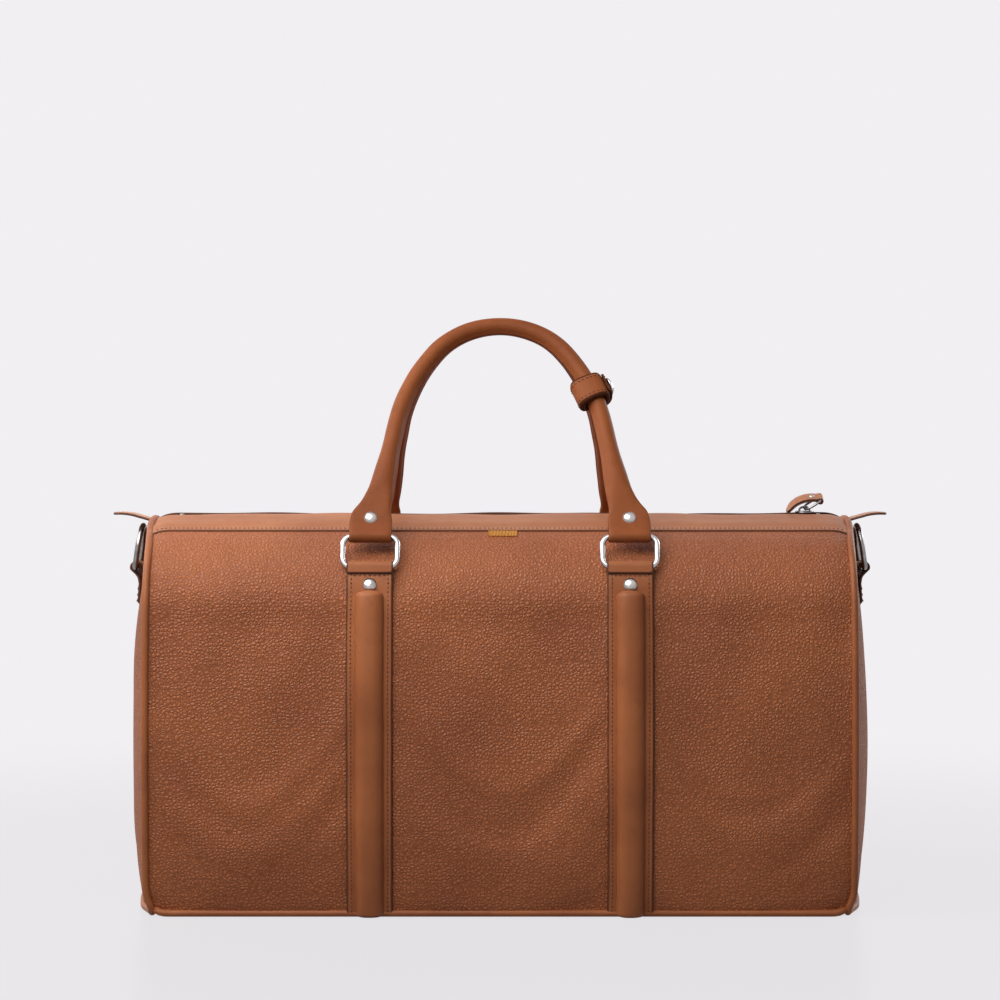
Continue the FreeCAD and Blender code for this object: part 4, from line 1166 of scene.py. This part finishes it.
def pullTab():
    p = pullLook
    eye = jointAt["pull_hinge"]
    start = math.degrees(math.atan2(eye[2] - p["centre"][1], eye[0] - p["centre"][0]))

    def arc(radius, angles):
        middleX, middleZ = p["centre"]
        return [(middleX + radius * math.cos(a), middleZ + radius * math.sin(a)) for a in np.radians(angles)]
    line = arc(p["radius"] - 0.55, np.linspace(p["end"] - 1, start + 9, 22))
    loop = [(eye[0] + 1.75 * math.cos(a), eye[2] + 1.75 * math.sin(a)) for a in np.radians(np.linspace(-118, 88, 12))]
    line = line + loop + arc(p["radius"] + 0.6, np.linspace(start + 9, p["end"], 22))
    roll = math.radians(p["roll"])
    across = mirrored([1, 0.93, 0.84], 0.7, 7)
    rows = []
    for k, (x, z) in enumerate(line):
        fromEnd = min(k, len(line) - 1 - k) / 5
        half = p["half"] * (math.sqrt(max(0.15, 1 - (1 - min(1, fromEnd)) ** 2.2)))
        neck = 1 - 0.10 * math.exp(-((k - 28) / 5) ** 2)
        lift = 0.5 * float(ease((219 - x) / 14))
        half *= neck
        rows.append([(x, v * half * math.cos(roll), z + v * half * math.sin(roll) + lift) for v in across])
    sheetAbout("zipPullLeather", np.array(rows), p["leaf"] / 2, "pale", "pull_tab", ["pull_tab"])
    a = math.radians(start + 17)
    addRivet("pull_tab", (p["centre"][0] + 21.1 * math.cos(a), 0, p["centre"][1] + 21.1 * math.sin(a)),
             (math.cos(a), -math.sin(roll), math.sin(a)), 2.0)


stopLook = {"wide": 1.6, "half": 3.9, "tall": 1.1}


def zipStops():
    _, high = boxOf("zip_stops")
    for sign, name in endSides:
        x = sign * (high[0] - stopLook["wide"])
        rings = []
        for t in np.linspace(-1, 1, 11):
            half = max(0.1, math.sqrt(max(0, 1 - abs(t) ** 3)))
            turn = fullTurn(16)
            rings.append(np.stack([x + stopLook["wide"] * half * np.cos(turn), np.full(16, stopLook["half"] * t),
                                   high[2] - 1.2 + stopLook["tall"] * half * np.sin(turn)], 1))
        loft(f"{name}ZipStop", rings, "gun", "bag", ["zip_stops"] if sign < 0 else [])


tabLook = {"half": 13.0, "thick": 1.7}


def endTabs():
    for side, name in endSides:
        low, high = boxOf(f"{name}_end_tab")
        tip = max(abs(low[0]), abs(high[0])) + 3.0
        line = curveThrough([(231, 267.9), (239, 267.2), (246, 266.8), (253, 268.3), (260, 270.2), (266.5, 271.0),
                             (tip, 270.9)], 34)
        across = mirrored([1, 0.97, 0.91], 0.82, 13)
        rows = []
        for x, z in line:
            fromTip = max(0.0, (x - (tip - 7)) / 7)
            half = tabLook["half"] * (1 - 0.32 * fromTip ** 3) * (0.94 + 0.06 * ease((x - 236) / 20))
            rows.append([(side * x, v * half, z - 1.6 * v * v * (1 - ease((x - 236) / 16)) - 0.2 * v * v)
                         for v in across])
        slab(f"{name}EndTab", rows, tabLook["thick"], "pale", "bag", [f"{name}_end_tab"], flip=side < 0)


loopLook = {"half": 13.0, "leaf": 2.1, "eye": 3.25, "foot": 204.0}


def endFace(z):
    # X of the end panel's outside on the middle plane
    reach = (z - shell["endCentre"]) / (profile[-1, 1] - shell["droop"] - shell["endCentre"])
    return float(endSkin(np.array(0.0), np.array(z + 100.0), np.array(max(0.0, reach))))


def ringLoops():
    for side, name in endSides:
        bar = np.abs(jointAt[f"{name}_d_ring_hinge"])
        look = loopLook
        half = look["leaf"] / 2
        line = [(endFace(z) + half + look["leaf"] * float(ease((z - 205) / 3)), z)
                for z in np.linspace(look["foot"], 221, 9)]
        line += [(endFace(225) + half + look["leaf"] + 1.7, 226.0)]
        line += [(bar[0] + look["eye"] * math.cos(a), bar[2] + look["eye"] * math.sin(a))
                 for a in np.radians(np.linspace(-18, 196, 18))]
        line += [(endFace(226) + half + 0.3, 225.5), (endFace(220) + half + 0.1, 220.0), (endFace(213) + half, 213.0),
                 (endFace(207) + half, 207.0)]
        line = curveThrough(line, 84)
        rows = []
        for k, (x, z) in enumerate(line):
            wide = look["half"] * (1 - 0.14 * float(ease((z - 214) / 18)))
            if k < 12:
                wide *= math.sqrt(max(0.25, 1 - (1 - min(1.0, (z - look["foot"] + 0.6) / 5)) ** 2))
            sink = 0.9 * (1 - ease((z - 210) / 15))
            rows.append([(side * (x - sink * v * v), v * wide, z) for v in mirrored([1, 0.96, 0.9], 0.8, 11)])
        sheetAbout(f"{name}RingLoop", np.array(rows), half, "smooth", "bag", [f"{name}_ring_loop"])
        for v in (-0.83, 0.83):
            row = []
            for z in np.linspace(208.4, 217, 7):
                lift = 0.15 - 0.62 * (1 - ease((z - 210) / 15))
                row.append((side * (endFace(z) + 2 * look["leaf"] + lift), v * look["half"], z))
            addStitches("bag", row)


dRingLook = {"wire": 2.0, "tall": 29.5, "corner": 3.2, "lean": 8}


def dRings():
    for side, name in endSides:
        node = f"{name}_d_ring"
        bar = jointAt[f"{node}_hinge"]
        low, high = boxOf(node)
        half = (high[1] - low[1]) / 2 - dRingLook["wire"]
        lean = math.radians(dRingLook["lean"])
        rise = np.array([-side * math.sin(lean), 0, math.cos(lean)])
        tall, corner = dRingLook["tall"], dRingLook["corner"]
        line = [(half * math.cos(turn), tall - half + half * math.sin(turn))
                for turn in np.radians(np.linspace(0, 180, 33))]
        for cy, start in ((-half + corner, 180), (half - corner, 270)):
            for turn in np.radians(np.linspace(start, start + 90, 7)):
                line.append((cy + corner * math.cos(turn), corner + corner * math.sin(turn)))
        path = [np.array([bar[0], y, bar[2]]) + rise * h for y, h in line]
        sweep(f"{name}DRing", densePath(path, 1.2, closed=True), np.cross((0, 1.0, 0), rise), dRingLook["wire"],
              "gun", node, [node], sides=14, closed=True)


wovenLook = {"upper": 65.0, "lower": 79.5, "lift": 0.75, "thick": 0.7, "ribs": 9, "ribRise": 0.16}


def wovenTab():
    low, high = boxOf("woven_tab")
    w = wovenLook
    gridX, gridWide = gridOf(np.linspace(low[0], high[0], 58), np.linspace(w["upper"], w["lower"], 12))
    ribs = w["ribRise"] * np.cos((gridX - low[0]) / (high[0] - low[0]) * 2 * math.pi * w["ribs"])
    grid = onSkin(gridX, girthAtWidth(gridWide), w["lift"] + ribs, -1)
    slab("wovenSeamTab", grid, w["thick"], "ochre", "bag", ["woven_tab"], flip=True)


liningLook = {"inset": 5.6, "slack": 0.006}


def lining():
    # one sewn bag inside the leather, a little slack
    inset = liningLook["inset"]
    rings = []
    along = np.linspace(0, girth[-1], 60)
    wide, high = np.interp(along, girth, profile[:, 0]), np.interp(along, girth, profile[:, 1])
    half = np.stack([np.maximum(wide - inset, 0), np.clip(high - inset, 7.0, 262)], 1)
    section = np.concatenate([half, half[1:-1][::-1] * (-1, 1)])
    middle = np.array([0, 120.0])
    for px in mirrored([238, 237, 234], 230, 60):
        shrink = 1 - 0.10 * ease((abs(px) - 226) / 12) - 0.25 * ease((abs(px) - 234) / 4)
        slack = 1 - liningLook["slack"] * (1 + math.sin(px * 0.07))
        flat = middle + (section - middle) * float(shrink * slack)
        rings.append(np.stack([np.full(len(flat), px), flat[:, 0], flat[:, 1]], 1))
    loft("cottonLining", rings, "lining", "bag", ["lining"])


def geometryTree(name, inputs):
    tree = bpy.data.node_groups.new(name, "GeometryNodeTree")
    tree.interface.new_socket("Geometry", in_out="INPUT", socket_type="NodeSocketGeometry")
    tree.interface.new_socket("Geometry", in_out="OUTPUT", socket_type="NodeSocketGeometry")
    for label, kind, value in inputs:
        tree.interface.new_socket(label, in_out="INPUT", socket_type="NodeSocket" + kind).default_value = value
    tree.interface.new_socket("Material", in_out="INPUT", socket_type="NodeSocketMaterial")
    net = Wire(tree)
    return tree, net, net.node("NodeGroupInput")


def vectorOf(net, *parts):
    return net.node("ShaderNodeCombineXYZ", None, dict(enumerate(parts)))


def copies(net, points, shape, turn, size):
    sockets = {"Points": points, "Instance": shape, "Rotation": turn, "Scale": size}
    return net.node("GeometryNodeInstanceOnPoints", None, sockets)


def closeTree(net, entry, instances):
    solid = net.node("GeometryNodeRealizeInstances", None, {"Geometry": instances})
    solid = net.node("GeometryNodeSetShadeSmooth", None, {"Geometry": solid})
    done = net.node("GeometryNodeSetMaterial", None, {"Geometry": solid, "Material": entry.sibling("Material")})
    net.node("NodeGroupOutput", None, {0: done})


def stitchTree():
    # beads of thread laid along lines, each as long as its share of the pitch
    tree, net, entry = geometryTree("stitchRow", [("Pitch", "Float", 0.003), ("Length", "Float", 0.002),
                                                  ("Width", "Float", 0.0007), ("Shift", "Float", 0.0)])
    pitch, length, width, shift = (entry.sibling(label) for label in ("Pitch", "Length", "Width", "Shift"))
    line = net.node("GeometryNodeMeshToCurve", None, {"Mesh": entry})
    line = net.node("GeometryNodeResampleCurve", {"mode": "LENGTH"}, {"Curve": line, "Length": pitch})
    tangent = net.node("GeometryNodeInputTangent")
    turn = net.node("FunctionNodeAlignRotationToVector", {"axis": "X"}, {"Vector": tangent})
    bead = net.node("GeometryNodeMeshUVSphere", None, {"Segments": 6, "Rings": 5, "Radius": 0.5})
    placed = copies(net, line, bead, turn, vectorOf(net, length, width, width))
    moved = {"Instances": placed, "Translation": vectorOf(net, shift)}
    closeTree(net, entry, net.node("GeometryNodeTranslateInstances", None, moved))
    return tree


def toothTree():
    # zip teeth: eight-sided bars across the tape, one row for each side
    tree, net, entry = geometryTree("zipTeeth", [
        ("Count", "Int", 170), ("Pitch", "Float", 0.0025), ("Reach", "Float", 0.0037), ("Height", "Float", 0.0018),
        ("Start", "Vector", (0.0, 0.0, 0.0))])
    pitch = entry.sibling("Pitch")
    row = net.node("GeometryNodeMeshLine", {"mode": "OFFSET"}, {
        "Count": entry.sibling("Count"), "Start Location": entry.sibling("Start"), "Offset": vectorOf(net, pitch)})
    bar = net.node("GeometryNodeMeshCylinder", None, {"Vertices": 8, "Radius": 0.5, "Depth": 1.0})
    size = vectorOf(net, pitch * 0.62, entry.sibling("Height"), entry.sibling("Reach"))
    closeTree(net, entry, copies(net, row, bar, (math.pi / 2, 0.0, 0.0), size))
    return tree


def rivetTree():
    # a domed cap on a thin flange, on each point and along its normal
    tree, net, entry = geometryTree("domedRivet", [("Flange", "Float", 0.12), ("Dome", "Float", 0.46)])
    flange = net.node("GeometryNodeMeshCylinder", None, {
        "Vertices": 32, "Radius": 1.0, "Depth": entry.sibling("Flange")})
    dome = net.node("GeometryNodeMeshUVSphere", None, {"Segments": 32, "Rings": 18, "Radius": 0.92})
    flat = vectorOf(net, 1.0, 1.0, entry.sibling("Dome"))
    dome = net.node("GeometryNodeTransform", None, {"Geometry": dome, "Scale": flat})
    join = net.node("GeometryNodeJoinGeometry", None, {0: flange})
    tree.links.new(dome.socket, join.socket.node.inputs[0])
    facing = net.node("GeometryNodeInputNamedAttribute", {"data_type": "FLOAT_VECTOR"}, {"Name": "facing"})
    size = net.node("GeometryNodeInputNamedAttribute", {"data_type": "FLOAT"}, {"Name": "size"})
    turn = net.node("FunctionNodeAlignRotationToVector", {"axis": "Z"}, {"Vector": facing})
    closeTree(net, entry, copies(net, entry, join, turn, vectorOf(net, size, size, size)))
    return tree


def growPiece(name, carrier, tree, values, body, replaced=()):
    # runs a node tree on a carrier mesh and keeps the result as a plain mesh
    modifier = carrier.modifiers.new("grow", "NODES")
    modifier.node_group = tree
    keys = {item.name: item.identifier for item in tree.interface.items_tree if item.in_out == "INPUT"}
    for label, value in values.items():
        modifier[keys[label]] = value
    bpy.context.view_layer.update()
    graph = bpy.context.evaluated_depsgraph_get()
    mesh = bpy.data.meshes.new_from_object(carrier.evaluated_get(graph), depsgraph=graph)
    mesh.name = name
    bpy.data.objects.remove(carrier)
    settle(name, mesh, body, replaced)


def carrierOf(name, points, edges=()):
    return newObject(name, newMesh(name, points, list(edges), []))


def titled(body):
    return "".join(word.title() for word in body.split("_"))


stitchLook = {"pitch": 3.0, "thread": 2.0, "width": 0.75, "hole": 1.0}


def growStitches():
    tree = stitchTree()
    for body, lines in stitchLines.items():
        # the Holes beads between the stitches carry painted shade of the needle holes
        for part, look, length, width, shift in (
                ("Thread", "thread", stitchLook["thread"], stitchLook["width"], 0.0),
                ("Holes", "hole", stitchLook["hole"], stitchLook["hole"] * 0.75, stitchLook["pitch"] / 2)):
            points, edges = [], []
            for line in lines:
                start = len(points)
                points.extend(line)
                edges.extend((start + k, start + k + 1) for k in range(len(line) - 1))
            carrier = carrierOf("stitchCarrier", points, edges)
            growPiece(f"stitch{part}{titled(body)}", carrier, tree, {
                "Pitch": stitchLook["pitch"] * mm, "Length": length * mm, "Width": width * mm, "Shift": shift * mm,
                "Material": finish[look]}, body)


def growTeeth():
    tree = toothTree()
    z = zipLook
    count = int(z["length"] / z["pitch"])
    for side, name in faceSides:
        shift = z["pitch"] / 4 * side
        start = Vector((-z["length"] / 2 + shift, side * z["teethWide"], z["teethTop"])) * mm
        carrier = carrierOf("teethCarrier", [(0, 0, 0)])
        growPiece(f"{name}ZipTeeth", carrier, tree, {
            "Count": count, "Pitch": z["pitch"] * mm, "Reach": z["toothReach"] * mm, "Height": z["toothHeight"] * mm,
            "Start": start, "Material": finish["gun"]}, "bag", [f"{name}_zip_teeth"])


rivetLook = {"Flange": 0.16, "Dome": 0.5}


def growRivets():
    tree = rivetTree()
    stands = {"bag": ["strap_rivets"], "front_handle": ["front_handle_rivets"], "rear_handle": ["rear_handle_rivets"]}
    for body, spots in rivetSpots.items():
        carrier = carrierOf("rivetCarrier", [spot for spot, _, _ in spots])
        facing = carrier.data.attributes.new("facing", "FLOAT_VECTOR", "POINT")
        facing.data.foreach_set("vector", np.array([n for _, n, _ in spots], np.float32).ravel())
        size = carrier.data.attributes.new("size", "FLOAT", "POINT")
        size.data.foreach_set("value", np.array([r * mm for _, _, r in spots], np.float32))
        growPiece(f"rivets{titled(body)}", carrier, tree, {**rivetLook, "Material": finish["metal"]}, body,
                  stands.get(body, ()))


def hiddenParts():
    # parts inside the bag keep their own shape and take a finish
    for node, look in (("base_board", "board"), ("strap_rivet_burrs", "metal"), ("keeper_stud", "metal")):
        part = frame["nodes"][node]
        part.data.materials.clear()
        part.data.materials.append(finish[look])


sagField.update({side: hangWall(side) for side in (-1, 1)})
bodyPanels()
endPanels()
endPiping()
basePieces()
print("shell built")
topBands()
zipTapes()
zipSlider()
zipPuller()
pullTab()
zipStops()
print("zip built")
straps()
handleRings()
handles()
keeper()
print("straps and handles built")
endTabs()
ringLoops()
dRings()
wovenTab()
lining()
growStitches()
growTeeth()
growRivets()
hiddenParts()
print("details built")


studio = {
    "backdrop": paint(241, 239, 242), "floor": paint(142, 140, 141),
    "keyPower": 18.5, "frontPower": 1.0, "leftPower": 9, "rightPower": 17, "ambient": 0.07,
    "floorRoughness": 0.28, "floorShine": 0.35, "floorGlow": 0.83, "fadeFrom": 0.35, "fadeTo": 1.3,
    "lens": 118.0, "eye": (0, -2.325, 0.330), "pitch": 1.25,
}


def plainSight(net):
    # 1 for what the camera sees straight, in a reflection or through something clear
    rays = net.node("ShaderNodeLightPath", None, None, out="Is Camera Ray")
    return (rays + rays.sibling("Is Glossy Ray") + rays.sibling("Is Transmission Ray")).least(1.0)


def floorSheet():
    size = 30000
    corners = [(-size, -size, 0), (size, -size, 0), (size, size, 0), (-size, size, 0)]
    sheet = newObject("studioFloor", newMesh("studioFloor", corners, [], [(0, 1, 2, 3)]))
    material, net = newMaterial("paleFloor")
    place = objectPlace(net)
    away = net.node("ShaderNodeVectorMath", {"operation": "LENGTH"}, {0: place}, out="Value")
    cloud = noise(net, place, 3.0, 2)
    colour = (cloud * 0.2).mix(studio["floor"], paint(137, 134, 136))
    lit = net.node("ShaderNodeBsdfPrincipled", None, {
        "Base Color": colour, "Roughness": studio["floorRoughness"], "Specular IOR Level": studio["floorShine"]})
    glow = net.node("ShaderNodeEmission", None, {"Color": studio["backdrop"], "Strength": 1.0})
    near = studio["floorGlow"]
    fade = (near + (1 - near) * away.ramp(studio["fadeFrom"], studio["fadeTo"])) * plainSight(net)
    both = net.node("ShaderNodeMixShader", None, {0: fade, 1: lit, 2: glow})
    net.node("ShaderNodeOutputMaterial", None, {"Surface": both})
    sheet.data.materials.append(material)


def softLamp(name, place, aim, size, power, shade=(1, 1, 1)):
    data = bpy.data.lights.new(name, "AREA")
    data.shape, data.size, data.size_y = "RECTANGLE", size[0], size[1]
    data.energy, data.color = power, shade
    lamp = newObject(name, data)
    lamp.location = place
    lamp.rotation_euler = (Vector(aim) - Vector(place)).to_track_quat("-Z", "Y").to_euler()


def studioWorld():
    world = bpy.data.worlds.new("studioWorld")
    bpy.context.scene.world = world
    world.use_nodes = True
    world.node_tree.nodes.clear()
    net = Wire(world.node_tree)
    seen = net.node("ShaderNodeBackground", None, {"Color": studio["backdrop"], "Strength": 1.0})
    light = net.node("ShaderNodeBackground", None, {"Color": (0.95, 0.95, 1.0, 1), "Strength": studio["ambient"]})
    both = net.node("ShaderNodeMixShader", None, {0: plainSight(net), 1: light, 2: seen})
    net.node("ShaderNodeOutputWorld", None, {"Surface": both})


def camera():
    data = bpy.data.cameras.new("studioCamera")
    data.sensor_width, data.lens = 36, studio["lens"]
    data.clip_start, data.clip_end = 0.05, 60
    eye = newObject("studioCamera", data)
    eye.location = studio["eye"]
    eye.rotation_euler = (math.radians(90 - studio["pitch"]), 0, 0)
    bpy.context.scene.camera = eye


floorSheet()
softLamp("overheadBox", (-0.5, -0.52, 1.02), (0, -0.1, 0.2), (1.4, 0.9), studio["keyPower"], (1, 0.985, 0.96))
softLamp("frontBox", (-1.6, -1.9, 2.0), (0, 0, 0.16), (1.0, 1.0), studio["frontPower"], (1, 0.99, 0.98))
softLamp("leftBox", (-1.75, 1.3, 1.0), (-0.15, 0.05, 0.14), (1.0, 0.8), studio["leftPower"])
softLamp("rightBox", (1.75, 1.3, 1.0), (0.15, 0.05, 0.14), (1.0, 0.8), studio["rightPower"])
studioWorld()
camera()
bpy.context.scene.view_settings.view_transform = "Standard"
print("studio set")
